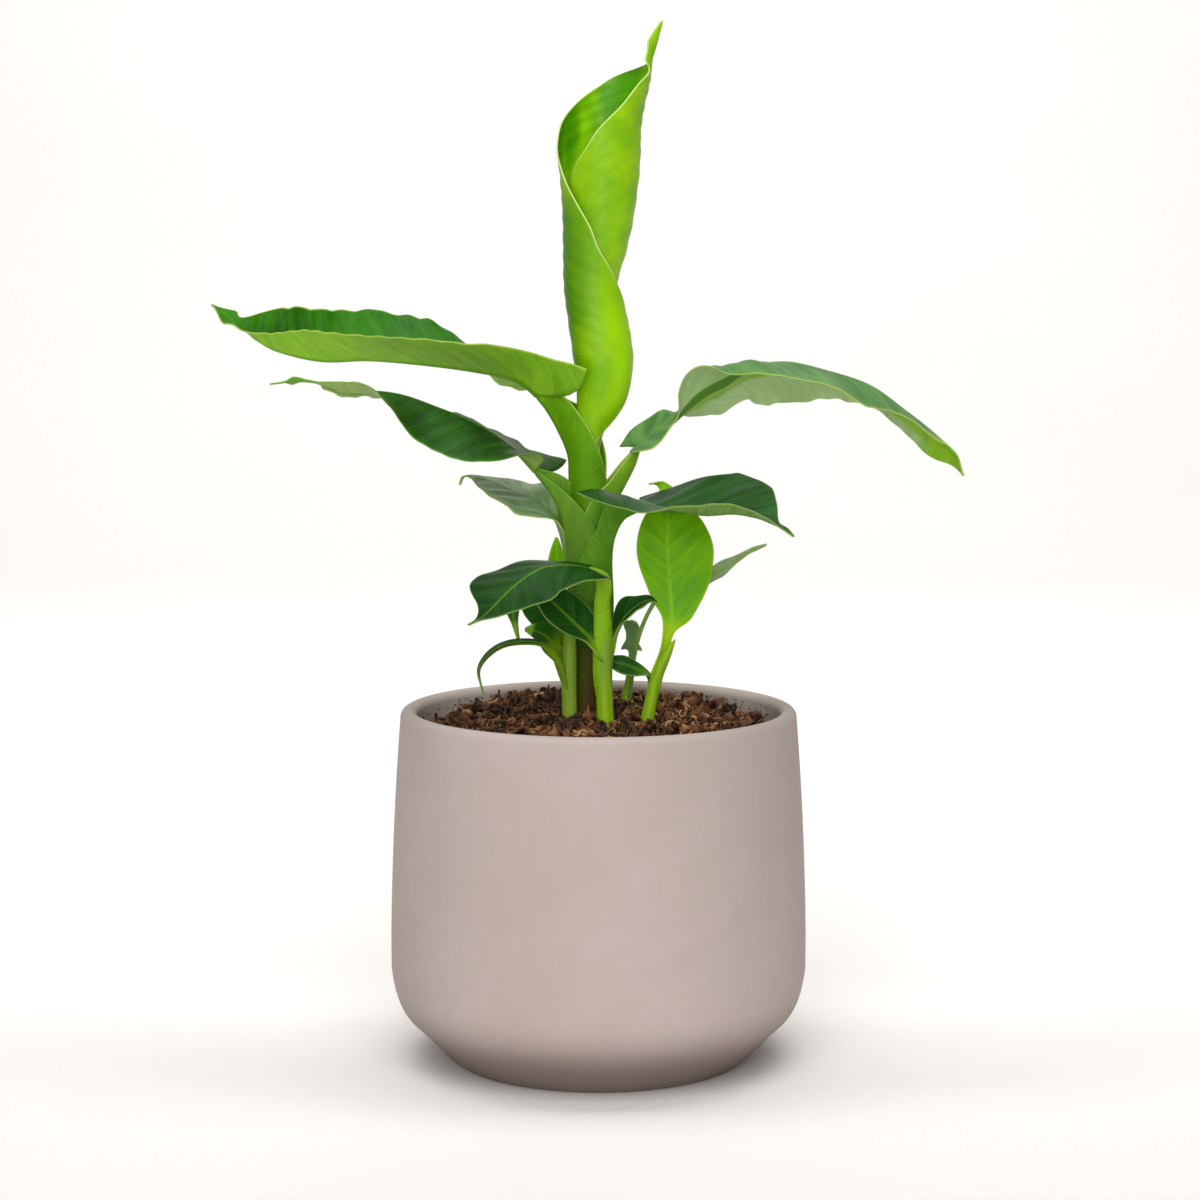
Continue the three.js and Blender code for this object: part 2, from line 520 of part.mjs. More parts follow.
      [-15.2, 13, 188, 0.3, 0.3, 0, 0, 0, 0, 0, 0]] },
  leaf_right_oval: { on: 'stem_right', sheathed: 1, heading: 90, stalk: 2, stations: [
    [20, -8, 140.5, 2.6, 2.6, 25, 25, 60, 60, 0, 0],
    [23.5, -8, 150, 2.3, 2.3, 25, 25, 60, 60, 0, 0],
    [25, -7, 156.4, 2.6, 2.6, 25, 25, 30, 30, 0, 0],
    [26, -6, 161.3, 3.5, 7, 10, 10, 0, 0, 0, 0],
    [25.6, -4, 170, 7.3, 13, 8, 8, 0, 0, 0, 0],
    [25.1, -1.5, 179.2, 10.3, 15.7, 8, 8, -5, -5, 0, 0],
    [24.7, 0.5, 186.5, 10.9, 15.9, 8, 8, -10, -10, 0, 0],
    [24.7, 3, 194.8, 8.9, 12.6, 8, 8, -15, -15, 0, 0],
    [24.7, 5, 201.2, 5, 6.5, 5, 5, -10, -10, 0, 0],
    [23.7, 6.5, 206.2, 2, 2.2, 0, 0, 0, 0, 0, 0],
    [21.7, 6.5, 208, 1, 1, 0, 0, 0, 0, 0, 0],
    [18.2, 5, 208, 0.3, 0.3, 0, 0, 0, 0, 0, 0]] },
  leaf_right_folded: { on: 'stem_right', sheathed: 1, heading: 195, halfCells: 2, stalk: 1.6,
    stations: [
      [17.8, -8.4, 129, 2, 2, 30, 30, 60, 60, 0, 0],
      [18.5, -8, 137.5, 1.8, 1.8, 30, 30, 60, 60, 0, 0],
      [17.5, -8.5, 141, 2.2, 1.8, 5, 10, 20, 20, -20, 0],
      [13.5, -9, 143, 3, 3, -10, 5, 0, 0, -45, 0],
      [8.5, -9.5, 145, 3.8, 3.4, -10, 5, 0, 0, -50, 0],
      [3.5, -9.5, 146, 2, 2, 0, 0, 0, 0, -50, 0],
      [0.5, -9.5, 146.5, 0.4, 0.4, 0, 0, 0, 0, -50, 0]] },
  leaf_back_pale: { on: 'stem_back', sheathed: 1, heading: 20, halfCells: 2, stalk: 1.6,
    stations: [
      [10.9, 24.4, 128.3, 1.2, 1.2, 10, 10, 30, 30, 0, 0],
      [13, 24, 142, 1.2, 1.2, 10, 10, 30, 30, 0, 0],
      [15.5, 23, 152.5, 1.1, 1.1, 10, 10, 30, 30, 0, 0],
      [20.5, 22, 163, 1.2, 1.2, 10, 10, 20, 20, 0, 0],
      [27, 21, 168, 3, 3, 10, 10, 0, 0, -30, 0],
      [35.5, 21, 170.5, 4.6, 4.6, 5, 5, 0, 0, -50, 0],
      [43, 20, 174.5, 4.6, 4.6, 5, 5, 0, 0, -50, 0],
      [50.5, 20, 179.5, 2.6, 2.6, 5, 5, 0, 0, -50, 0],
      [54, 19, 182, 1.2, 1.2, 0, 0, 0, 0, -50, 0],
      [57.5, 19, 183.5, 1.2, 1.2, 0, 0, 0, 0, -50, 0],
      [61, 18, 185, 0.3, 0.3, 0, 0, 0, 0, -50, 0]] },
  leaf_back_torn: { on: 'stem_back', sheathed: 2, heading: 60, halfCells: 2, stalk: 1.4,
    stations: [
      [11, 25, 127, 1.4, 1.4, 15, 15, 40, 40, 0, 0],
      [11.8, 26, 136, 1.5, 1.5, 15, 15, 40, 40, 0, 0],
      [12.4, 27.4, 141.5, 1.6, 2, 15, 15, 20, 20, 0, 0],
      [13, 28.2, 147, 2.4, 2.4, 8, 8, 0, 0, 0, 0],
      [12, 28, 151, 2.4, 2.8, 8, 8, 0, 0, 0, 0],
      [11, 27, 154.4, 1.8, 2, 0, 0, 0, 0, 0, 0],
      [11, 26, 156, 0.4, 0.4, 0, 0, 0, 0, 0, 0]] },
};

const rolledRows = [
  [210.4, -3.4, 3.2, -120, 280], [223.7, -3, 4.3, -140, 300], [231.2, -1.4, 5.9, -160, 340],
  [237.3, 0.4, 7.4, -180, 370], [245.5, 1.3, 8.7, -200, 400], [253.4, 1.1, 9.4, -215, 420],
  [261.9, 0, 9.5, -220, 410], [277.9, -2.3, 9.2, -215, 350], [290, -0.9, 10.9, -200, 283],
  [299.9, 0.2, 12.1, -185, 254], [308, 0.7, 12.9, -170, 232], [318.9, 0.9, 14, -140, 197],
  [326.3, 0.6, 14.7, -113, 184], [333.6, 0.9, 14.5, -93, 172], [341.7, 1.9, 14.7, -63, 140],
  [349.4, 3.5, 14.9, -41, 104], [354.6, 5.1, 14.1, -18, 70], [359.2, 15, 4.6, -65, 10],
  [365.1, 18.2, 3.2, -100, -15], [371.7, 22.1, 0.7, -100, -20],
];

// A stem with the sheaths of its leaves, or all but one of them
function stemWithSheaths(name, grow = 0, leftOut = '') {
  let body = stem(stems[name], grow);
  Object.entries(leaves).forEach(([key, l]) => {
    if (l.on !== name || !l.sheathed || key === leftOut) return;
    const top = lengthsAlong(l.stations)[l.sheathed];
    body = body.add(leaf(l, 0, top + grow, grow));
  });
  return largestBody(body);
}

Object.keys(stems).forEach((name) => {
  addPart(name, stemWithSheaths(name), name === 'stem_main' ? 0x6f9a28 : 0x86b32c, 0.45);
});

const rolledClear = rolledLeaf(rolledRows, CLEARANCE);

Object.entries(leaves).forEach(([name, l]) => {
  const bottom = l.sheathed ? lengthsAlong(l.stations)[l.sheathed] + CLEARANCE : 0;
  let body = leaf(l, bottom).subtract(stemWithSheaths(l.on, CLEARANCE, name));
  if (name === 'leaf_upper_left') body = body.subtract(rolledClear);
  body = largestBody(body);
  const young = name === 'leaf_right_oval' || name === 'leaf_left_upright';
  addPart(name, body, young ? 0x8fc31a : 0x2f6a2c, 0.4);
});

const rolled = rolledLeaf(rolledRows).subtract(stemWithSheaths('stem_main', CLEARANCE));
addPart('leaf_centre', largestBody(rolled), 0x8cc414, 0.4);

// Soil: a low mound that fills the pot to its inner wall, with bark chips
let seed = 7;
function random() {
  seed = (seed * 16807) % 2147483647;
  return seed / 2147483647;
}

function soilHeight(x, y) {
  const r = Math.hypot(x, y) / WALL_BORE;
  const bump = Math.hypot(x - SOIL_BUMP.x, y - SOIL_BUMP.y) / SOIL_BUMP.spread;
  return SOIL_EDGE + (SOIL_CROWN - SOIL_EDGE) * (1 - r * r) + SOIL_BUMP.height * Math.exp(-bump * bump);
}

function soilBody() {
  const radius = WALL_BORE - CLEARANCE;
  const base = FLOOR_THICKNESS + CLEARANCE;
  const positions = [];
  const rim = [[INNER_FLOOR_RADIUS - SOIL_FOOT_GAP, base],
    [INNER_FLOOR_RADIUS + INNER_CHAMFER.width - SOIL_FOOT_GAP,
      FLOOR_THICKNESS + INNER_CHAMFER.height + SOIL_FOOT_GAP],
    [radius, INNER_CONE_TOP + SOIL_FOOT_GAP]];
  const ringAt = (r, height) => {
    for (let j = 0; j < SOIL_SIDES; j += 1) {
      const turn = 2 * Math.PI * j / SOIL_SIDES;
      const [x, y] = [r * Math.cos(turn), r * Math.sin(turn)];
      positions.push([x, y, height ?? soilHeight(x, y) + eitherWay(SOIL_ROUGHNESS)]);
    }
  };
  rim.forEach(([r, height]) => ringAt(r, height));
  for (let i = SOIL_RINGS; i >= 1; i -= 1) ringAt(radius * i / SOIL_RINGS);
  const rings = rim.length + SOIL_RINGS;
  const triangles = [];
  const at = (i, j) => i * SOIL_SIDES + j % SOIL_SIDES;
  for (let i = 0; i < rings - 1; i += 1) {
    for (let j = 0; j < SOIL_SIDES; j += 1) {
      triangles.push(at(i, j), at(i, j + 1), at(i + 1, j + 1), at(i, j), at(i + 1, j + 1), at(i + 1, j));
    }
  }
  const foot = positions.length;
  positions.push([0, 0, base], [0, 0, SOIL_CROWN]);
  for (let j = 0; j < SOIL_SIDES; j += 1) {
    triangles.push(foot, at(0, j + 1), at(0, j), foot + 1, at(rings - 1, j), at(rings - 1, j + 1));
  }
  return solid(positions, triangles);
}

function eitherWay(most) {
  return most * (2 * random() - 1);
}

function chip() {
  const size = CHIP_SIZE.map((v) => v * (1 + eitherWay(CHIP_SIZE_SPREAD)));
  const body = new THREE.BoxGeometry(...size);
  body.rotateX(eitherWay(CHIP_TILT));
  body.rotateY(eitherWay(CHIP_TILT));
  body.rotateZ(eitherWay(Math.PI));
  const { inner, outer } = CHIP_FIELD;
  const reach = inner + (outer - inner) * Math.sqrt(random());
  const turn = eitherWay(Math.PI);
  const [x, y] = [reach * Math.cos(turn), reach * Math.sin(turn)];
  body.translate(x, y, soilHeight(x, y) + CHIP_LIFT);
  return toManifold(body);
}

let soil = soilBody();
for (let i = 0; i < CHIP_COUNT; i += 1) soil = soil.add(chip());
Object.keys(stems).forEach((name) => {
  soil = soil.subtract(stemWithSheaths(name, CLEARANCE));
});
addPart('soil', largestBody(soil), 0x3b2a20, 0.95);
addPart('pot', lathe(potProfile(), POT_SIDES), 0xa79b94, 0.6);

export default group;
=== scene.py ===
import math

import bpy
import numpy as np
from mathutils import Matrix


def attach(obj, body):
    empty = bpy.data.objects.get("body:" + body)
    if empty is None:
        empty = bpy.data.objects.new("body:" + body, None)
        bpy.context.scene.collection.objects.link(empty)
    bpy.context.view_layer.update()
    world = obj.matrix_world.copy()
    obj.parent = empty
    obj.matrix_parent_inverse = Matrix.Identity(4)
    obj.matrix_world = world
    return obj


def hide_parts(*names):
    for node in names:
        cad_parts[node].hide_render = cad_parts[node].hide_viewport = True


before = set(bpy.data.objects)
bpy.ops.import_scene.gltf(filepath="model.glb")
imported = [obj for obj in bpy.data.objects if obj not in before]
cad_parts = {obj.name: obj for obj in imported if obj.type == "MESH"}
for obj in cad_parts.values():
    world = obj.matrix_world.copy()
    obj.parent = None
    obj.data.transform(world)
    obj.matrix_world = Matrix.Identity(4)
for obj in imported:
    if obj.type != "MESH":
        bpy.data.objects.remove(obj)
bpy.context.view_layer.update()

# Camera: a long lens 17 cm above the rim of the pot and a metre in front of it, turned slightly
# down, so that the inside of the rim and a narrow ring of soil can be seen.
CAMERA_PLACE = (0.00053, -1.1043, 0.2957)
CAMERA_TILT = 83.34
CAMERA_LENS = 93.1
SENSOR_WIDTH = 36

lens = bpy.data.cameras.new("camera")
lens.lens = CAMERA_LENS
lens.sensor_width = SENSOR_WIDTH
camera = bpy.data.objects.new("camera", lens)
camera.location = CAMERA_PLACE
camera.rotation_euler = (math.radians(CAMERA_TILT), 0, 0)
bpy.context.collection.objects.link(camera)
bpy.context.scene.camera = camera

# Studio: a sheet of pale paper that lies under the pot and sweeps up behind it, three soft
# lights in front, low, at the left and high up, and one that shines on the paper behind.
PAPER_WIDTH = 8.0
PAPER_FRONT = -3.0
PAPER_BEND = 1.6
PAPER_RADIUS = 1.2
PAPER_TOP = 3.5
PAPER_STEPS = 24
PAPER_COLOURS = ("f6f2ef", "f9f7f5")
SKY_COLOUR = (1, 0.99, 0.98, 1)
SKY_STRENGTH = 0.09
# Each light: its place, the point that it faces, its width and its power.
LIGHTS = {
    "light_left": ((-0.45, -1.8, 1.2), (0, 0, 0.15), 1.3, 4),
    "light_front": ((-0.1, -1.9, 0.55), (0, 0, 0.15), 0.9, 15),
    "light_high": ((0, -1.3, 1.8), (0, 0, 0.1), 1.4, 18.6),
    "light_paper": ((0, 0.4, 2.3), (0, 2.8, 0.9), 2.0, 66),
}


def linear(code):
    """Linear colour, with alpha, of a hexadecimal screen colour: each channel over 0.04 is
    raised to the power 2.4, and a darker one is divided by 12.92."""
    screen = np.array([int(code[k:k + 2], 16) / 255 for k in (0, 2, 4)])
    value = np.where(screen <= 0.04045, screen / 12.92, ((screen + 0.055) / 1.055) ** 2.4)
    return (*value.tolist(), 1.0)


def new_material(name, **shader):
    """A material whose Principled shader has the given socket values, and its node tree."""
    material = bpy.data.materials.new(name)
    material.use_nodes = True
    tree = material.node_tree
    principled = tree.nodes["Principled BSDF"]
    for key, value in shader.items():
        principled.inputs[key.replace("_", " ")].default_value = value
    return material, tree, principled


def add_node(tree, kind, settings, *values):
    """A shader node with its settings; each value fills the next socket or is joined to it."""
    node = tree.nodes.new("ShaderNode" + kind)
    for key, value in settings.items():
        setattr(node, key, value)
    for socket, value in zip(node.inputs, values):
        if isinstance(value, bpy.types.NodeSocket):
            tree.links.new(value, socket)
        elif value is not None:
            socket.default_value = value
    return node


def blend_colours(tree, factor, first, second, kind="MIX"):
    """Colour between two colours, by a factor from 0 to 1."""
    settings = {"data_type": "RGBA", "blend_type": kind}
    node = add_node(tree, "Mix", settings, factor, None, None, None, None, None, first, second)
    return node.outputs[2]


def between(tree, value, low, high, start=0.0, end=1.0):
    """A value eased from start to end while the input goes from low to high."""
    settings = {"interpolation_type": "SMOOTHSTEP"}
    return add_node(tree, "MapRange", settings, value, low, high, start, end).outputs[0]


def sum_of(tree, first, second, kind="ADD"):
    """Two values taken together by one sum of the given kind, or one value alone."""
    return add_node(tree, "Math", {"operation": kind}, first, second).outputs[0]


def grain(tree, scale, detail=4.0, stretch=(1, 1, 1), roughness=0.55):
    """Soft noise in the piece's own place, scale lumps a metre, longer where stretch is less."""
    place = add_node(tree, "TexCoord", {}).outputs["Object"]
    stretched = add_node(tree, "Mapping", {}, place, None, None, stretch).outputs[0]
    return add_node(tree, "TexNoise", {}, stretched, None, scale, detail, roughness).outputs[0]


def relief(tree, principled, height, distance, strength=0.6):
    """Fine relief of the given depth in metres on a finish."""
    bump = add_node(tree, "Bump", {})
    bump.inputs["Strength"].default_value = strength
    bump.inputs["Distance"].default_value = distance
    tree.links.new(height, bump.inputs["Height"])
    tree.links.new(bump.outputs[0], principled.inputs["Normal"])


def piece_from(name, points, faces, material, maps=None):
    """A piece of smooth faces from points in metres, with a map for each named attribute."""
    mesh = bpy.data.meshes.new(name)
    mesh.from_pydata(points.reshape(-1, 3).tolist(), [], faces)
    mesh.polygons.foreach_set("use_smooth", np.ones(len(mesh.polygons), dtype=bool))
    for key, values in (maps or {}).items():
        attribute = mesh.attributes.new(key, "FLOAT_VECTOR", "POINT")
        attribute.data.foreach_set("vector", values.astype(np.float32).ravel())
    mesh.materials.append(material)
    piece = bpy.data.objects.new(name, mesh)
    bpy.context.collection.objects.link(piece)
    return piece


paper, paper_tree, paper_shader = new_material("pale_paper", Roughness=0.9)
paper_tone = blend_colours(paper_tree, grain(paper_tree, 3.0), *map(linear, PAPER_COLOURS))
paper_tree.links.new(paper_tone, paper_shader.inputs["Base Color"])
bend = np.linspace(0, math.pi / 2, PAPER_STEPS)
sweep_y = np.concatenate([[PAPER_FRONT], PAPER_BEND + PAPER_RADIUS * np.sin(bend),
                          [PAPER_BEND + PAPER_RADIUS]])
sweep_z = np.concatenate([[0], PAPER_RADIUS * (1 - np.cos(bend)), [PAPER_TOP]])
edges = [np.stack([np.full_like(sweep_y, side * PAPER_WIDTH / 2), sweep_y, sweep_z], 1)
         for side in (-1, 1)]
count = len(sweep_y)
sweep_faces = [(k, k + count, k + count + 1, k + 1) for k in range(count - 1)]
floor = piece_from("paper_sweep", np.concatenate(edges), sweep_faces, paper)

for light_name, (place, target, size, power) in LIGHTS.items():
    lamp = bpy.data.lights.new(light_name, "AREA")
    lamp.size = size
    lamp.energy = power
    light = bpy.data.objects.new(light_name, lamp)
    light.location = place
    aim = np.array(target) - place
    light.rotation_euler = (math.pi - math.acos(aim[2] / np.linalg.norm(aim)), 0,
                            math.atan2(aim[1], aim[0]) - math.pi / 2)
    bpy.context.collection.objects.link(light)

sky = bpy.data.worlds.new("sky")
sky.use_nodes = True
sky.node_tree.nodes["Background"].inputs[0].default_value = SKY_COLOUR
sky.node_tree.nodes["Background"].inputs[1].default_value = SKY_STRENGTH
bpy.context.scene.world = sky
bpy.context.scene.view_settings.view_transform = "Standard"

# Pot: turned stoneware with a narrow foot, a sloping base, a full belly and a round lip, fired
# with a matt taupe glaze. One wall, turned on a wheel, with the faintest marks of the turning.
MM = 0.001
POT_SIDES = 192
FOOT_RADIUS = 52
FOOT_EDGE = 1.8
FOOT_FLAT = 44
CONE = ((56, 3.5), (60, 7.8), (66, 13.6))
CONE_TOP = (69, 16.5)
SHOULDER_BEND = (73.6, 21.5)
BELLY = (75, 34, 46)
BELLY_EASE = 0.6
NECK = (71.2, 124.6)
POT_HEIGHT = 128
LIP_RADIUS = 3
WALL_BORE = 65.1
FLOOR_TOP = 6
INNER_WALL = [(WALL_BORE, 118), (WALL_BORE, 60), (WALL_BORE, 26), (55, 10), (49, FLOOR_TOP)]
LIP_STEPS = 18
GLAZE_COLOURS = ("b3a59e", "baaca6")
GLAZE_MOTTLE = "b0a29b"
GLAZE_SPECK = "8d817a"
# Painted shade: below 30 mm the glaze darkens towards the foot, as the shade under the belly.
GLAZE_PAINTED_SHADE = "75675f"
PAINTED_SHADE_BAND = (6 * MM, 30 * MM)


def bend_between(start, control, end, steps):
    """Points on the curve that leaves start towards control and reaches end from control: the
    three weighed by (1 - u) squared, 2 u (1 - u) and u squared."""
    u = np.linspace(0, 1, steps)[:, None]
    start, control, end = (np.array(p, dtype=float) for p in (start, control, end))
    return (1 - u) ** 2 * start + 2 * u * (1 - u) * control + u ** 2 * end


def turned(profile, sides):
    """Points and faces of a profile of (radius, height), from axis to axis, turned about +Z:
    each station gives a ring of radius times cosine and sine, and the two ends close in fans."""
    turn = np.arange(sides) * 2 * math.pi / sides
    radius, height = profile[1:-1, 0][:, None], profile[1:-1, 1][:, None]
    rings = np.stack([radius * np.cos(turn), radius * np.sin(turn),
                      height + np.zeros(sides)], 2)
    ends = np.array([[0, 0, profile[0, 1]], [0, 0, profile[-1, 1]]])
    rows = len(rings)
    i, j = np.meshgrid(np.arange(rows - 1), np.arange(sides), indexing="ij")
    k = (j + 1) % sides
    quads = np.stack([i * sides + j, i * sides + k, (i + 1) * sides + k, (i + 1) * sides + j], 2)
    first, last = rows * sides, rows * sides + 1
    around = np.arange(sides)
    after = (around + 1) % sides
    top = (rows - 1) * sides
    faces = quads.reshape(-1, 4).tolist()
    faces += np.stack([after, around, np.full(sides, first)], 1).tolist()
    faces += np.stack([top + around, top + after, np.full(sides, last)], 1).tolist()
    return np.concatenate([rings.reshape(-1, 3), ends]), faces


lip_turn = np.linspace(0, math.pi, LIP_STEPS)[1:]
lip_centre = np.array([NECK[0] - LIP_RADIUS, POT_HEIGHT - LIP_RADIUS])
belly_middle = (BELLY[0] - BELLY_EASE, (BELLY[2] + NECK[1]) / 2)
pot_profile = np.concatenate([
    [(0, 0), (FOOT_FLAT, 0)],
    bend_between((FOOT_RADIUS - FOOT_EDGE, 0), (FOOT_RADIUS, 0),
                 (FOOT_RADIUS + FOOT_EDGE, FOOT_EDGE), 6),
    bend_between(*CONE, 5),
    bend_between(CONE_TOP, SHOULDER_BEND, BELLY[:2], 14),
    bend_between(BELLY[::2], belly_middle, NECK, 30),
    lip_centre + LIP_RADIUS * np.stack([np.cos(lip_turn), np.sin(lip_turn)], 1),
    INNER_WALL, [(0, FLOOR_TOP)]])
pot_points, pot_faces = turned(pot_profile * MM, POT_SIDES)

glaze, glaze_tree, glaze_shader = new_material("matt_taupe_glaze", Roughness=0.62,
                                               Specular_IOR_Level=0.2)
cloudy = between(glaze_tree, grain(glaze_tree, 14, 3), 0.35, 0.68)
mottled = between(glaze_tree, grain(glaze_tree, 160, 5), 0.3, 0.7)
glaze_tone = blend_colours(glaze_tree, cloudy, *map(linear, GLAZE_COLOURS))
glaze_tone = blend_colours(glaze_tree, sum_of(glaze_tree, mottled, 0.35, "MULTIPLY"),
                           glaze_tone, linear(GLAZE_MOTTLE))
place = add_node(glaze_tree, "TexCoord", {}).outputs["Object"]
speck = add_node(glaze_tree, "TexVoronoi", {}, place, None, 900.0).outputs["Distance"]
speck = between(glaze_tree, speck, 0.0, 0.16, 1.0, 0.0)
rare = between(glaze_tree, grain(glaze_tree, 420, 2), 0.58, 0.66)
dotted = sum_of(glaze_tree, sum_of(glaze_tree, speck, rare, "MULTIPLY"), 0.3, "MULTIPLY")
glaze_tone = blend_colours(glaze_tree, dotted, glaze_tone, linear(GLAZE_SPECK))
# Painted shade, darkest at the foot, in the glaze colour of the sloping base.
painted_foot_shade = add_node(glaze_tree, "SeparateXYZ", {}, place).outputs[2]
painted_foot_shade = between(glaze_tree, painted_foot_shade, *PAINTED_SHADE_BAND, 0.9, 0.0)
glaze_tone = blend_colours(glaze_tree, painted_foot_shade, glaze_tone, linear(GLAZE_PAINTED_SHADE))
glaze_tree.links.new(glaze_tone, glaze_shader.inputs["Base Color"])
turning = grain(glaze_tree, 40, 3, (0.05, 0.05, 6))
fine = sum_of(glaze_tree, grain(glaze_tree, 900, 3), 0.5, "MULTIPLY")
relief(glaze_tree, glaze_shader, sum_of(glaze_tree, turning, fine), 0.00012, 0.5)
pot = piece_from("pot_shell", pot_points, pot_faces, glaze)
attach(pot, "root")
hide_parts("pot")

# Soil: a low mound of dark peat that fills the pot to a few millimetres below the lip, with a
# heap at the back left. It is one loose, crumbly bed, poured in and pressed down by hand.
SOIL_RADIUS = 64.8
SOIL_SIDES = 288
SOIL_RINGS = 104
SOIL_EDGE = 121.6
SOIL_CROWN = 124
SOIL_HEAP = (-20, 24, 2.6, 14)
SOIL_SIDE_FALL = 4.2
CRUMBS = [(9, 0.9), (4, 0.75), (1.8, 0.45)]
CRUMB_TABLE = 61
PEAT_COLOURS = ("24160c", "523520")
PEAT_FLECK = "7a573b"
SOIL_FOOT = [(0, 6.3), (48, 6.3), (54, 11), (64.8, 27), (64.8, 80), (64.8, 112)]
rng = np.random.default_rng(7)


def lumps(x, y, size, table):
    """Height from -1 to 1 of lumps of one size: the four nearest values of a random table,
    weighed by the eased place between them."""
    u, v = x / size + 400, y / size + 400
    i, j = np.floor(u).astype(int), np.floor(v).astype(int)
    a, b = u - i, v - j
    a, b = a * a * (3 - 2 * a), b * b * (3 - 2 * b)
    n = len(table)
    low = table[i % n, j % n] * (1 - a) + table[(i + 1) % n, j % n] * a
    high = table[i % n, (j + 1) % n] * (1 - a) + table[(i + 1) % n, (j + 1) % n] * a
    return low * (1 - b) + high * b


crumb_tables = [rng.uniform(-1, 1, (CRUMB_TABLE, CRUMB_TABLE)) for _ in CRUMBS]


def mound(x, y, crumbs=1.0):
    """Height of the soil: a crown that falls with the square of the radius, a further fall at
    the sides with the fourth power of x, a bell-shaped heap, and crumbs of three sizes."""
    heap_x, heap_y, heap_height, heap_spread = SOIL_HEAP
    height = SOIL_EDGE + (SOIL_CROWN - SOIL_EDGE) * (1 - (x * x + y * y) / WALL_BORE ** 2)
    height = height - SOIL_SIDE_FALL * (x / WALL_BORE) ** 4
    reach = ((x - heap_x) ** 2 + (y - heap_y) ** 2) / heap_spread ** 2
    height = height + heap_height * np.exp(-reach)
    for (size, rise), table in zip(CRUMBS, crumb_tables):
        height = height + crumbs * rise * lumps(x, y, size, table)
    return height


soil_radii = SOIL_RADIUS * (1 - np.arange(SOIL_RINGS) / SOIL_RINGS)
soil_rings = np.stack([soil_radii, np.full(SOIL_RINGS, SOIL_EDGE)], 1)
soil_profile = np.concatenate([SOIL_FOOT, soil_rings, [(0, SOIL_CROWN)]])
soil_points, soil_faces = turned(soil_profile, SOIL_SIDES)
surface = slice((len(SOIL_FOOT) - 1) * SOIL_SIDES, -2)
soil_x, soil_y = soil_points[surface, 0], soil_points[surface, 1]
soil_points[surface, 2] = mound(soil_x, soil_y)
soil_points[-1, 2] = mound(np.zeros(1), np.zeros(1))[0]

peat, peat_tree, peat_shader = new_material("dark_peat", Roughness=0.95, Specular_IOR_Level=0.2)
damp = between(peat_tree, grain(peat_tree, 180, 6), 0.3, 0.7)
peat_tone = blend_colours(peat_tree, damp, *map(linear, PEAT_COLOURS))
flecked = between(peat_tree, grain(peat_tree, 700, 4), 0.62, 0.72)
peat_tone = blend_colours(peat_tree, flecked, peat_tone, linear(PEAT_FLECK))
peat_tree.links.new(peat_tone, peat_shader.inputs["Base Color"])
relief(peat_tree, peat_shader, grain(peat_tree, 900, 6), 0.0008, 0.9)
soil = piece_from("soil_bed", soil_points * MM, soil_faces, peat)
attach(soil, "root")
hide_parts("soil")

# Bark chips: flakes of composted bark that have dried and curled, dark with paler rims that
# are partly broken edges and partly painted highlight where the curls catch the light. They
# lie loose on the peat, every way up, and were raked into its top.
CHIP_COUNT = 2200
CHIP_LONG = (1.8, 12)
CHIP_WIDE = (0.16, 0.5)
CHIP_CURL = (1.0, 3.0)
CHIP_THICK = 0.5
CHIP_TILT = 0.35
CHIP_LIFT = (-0.4, 2.2)
CHIP_REACH = 62
CHIP_LENGTHWAYS = np.array([-1, -0.75, -0.4, 0, 0.4, 0.75, 1.0])
CHIP_CROSSWAYS = np.array([-1, 0, 1.0])
CHIP_OUTLINE = np.array([0, 3, 6, 9, 12, 15, 18, 19, 20, 17, 14, 11, 8, 5, 2, 1])
CHIP_SHADE = 0.7
CHIP_EDGE_AND_HIGHLIGHT = 0.42
BARK_COLOURS = ("1a0d06", "98623a")
BARK_EDGE_AND_HIGHLIGHT = "d2a470"
BARK_STREAK = "170c05"
# Where each stem stands: its place and the radius that stays clear round it.
STEM_FEET = [(-4, 10, 8.2), (2.3, -19, 4.2), (-10.4, 1.5, 3.8), (9, 25, 2.6), (16.8, -10, 3.6)]


def scattered(number, edge, spare=0.0):
    """Places on the soil, spread evenly over the disc and clear of the stems' feet."""
    reach = edge * np.sqrt(rng.uniform(0.0, 1, number * 2))
    turn = rng.uniform(0, 2 * math.pi, number * 2)
    x, y = reach * np.cos(turn), reach * np.sin(turn)
    clear = np.ones(len(x), dtype=bool)
    for foot_x, foot_y, foot_radius in STEM_FEET:
        clear &= np.hypot(x - foot_x, y - foot_y) > foot_radius + spare
    return x[clear][:number], y[clear][:number]


def turned_about(points, axis, angle):
    """Points, one group for each angle, turned about a coordinate axis."""
    a, b = [(1, 2), (2, 0), (0, 1)][axis]
    c, s = np.cos(angle)[:, None], np.sin(angle)[:, None]
    result = points.copy()
    result[..., a] = c * points[..., a] - s * points[..., b]
    result[..., b] = s * points[..., a] + c * points[..., b]
    return result


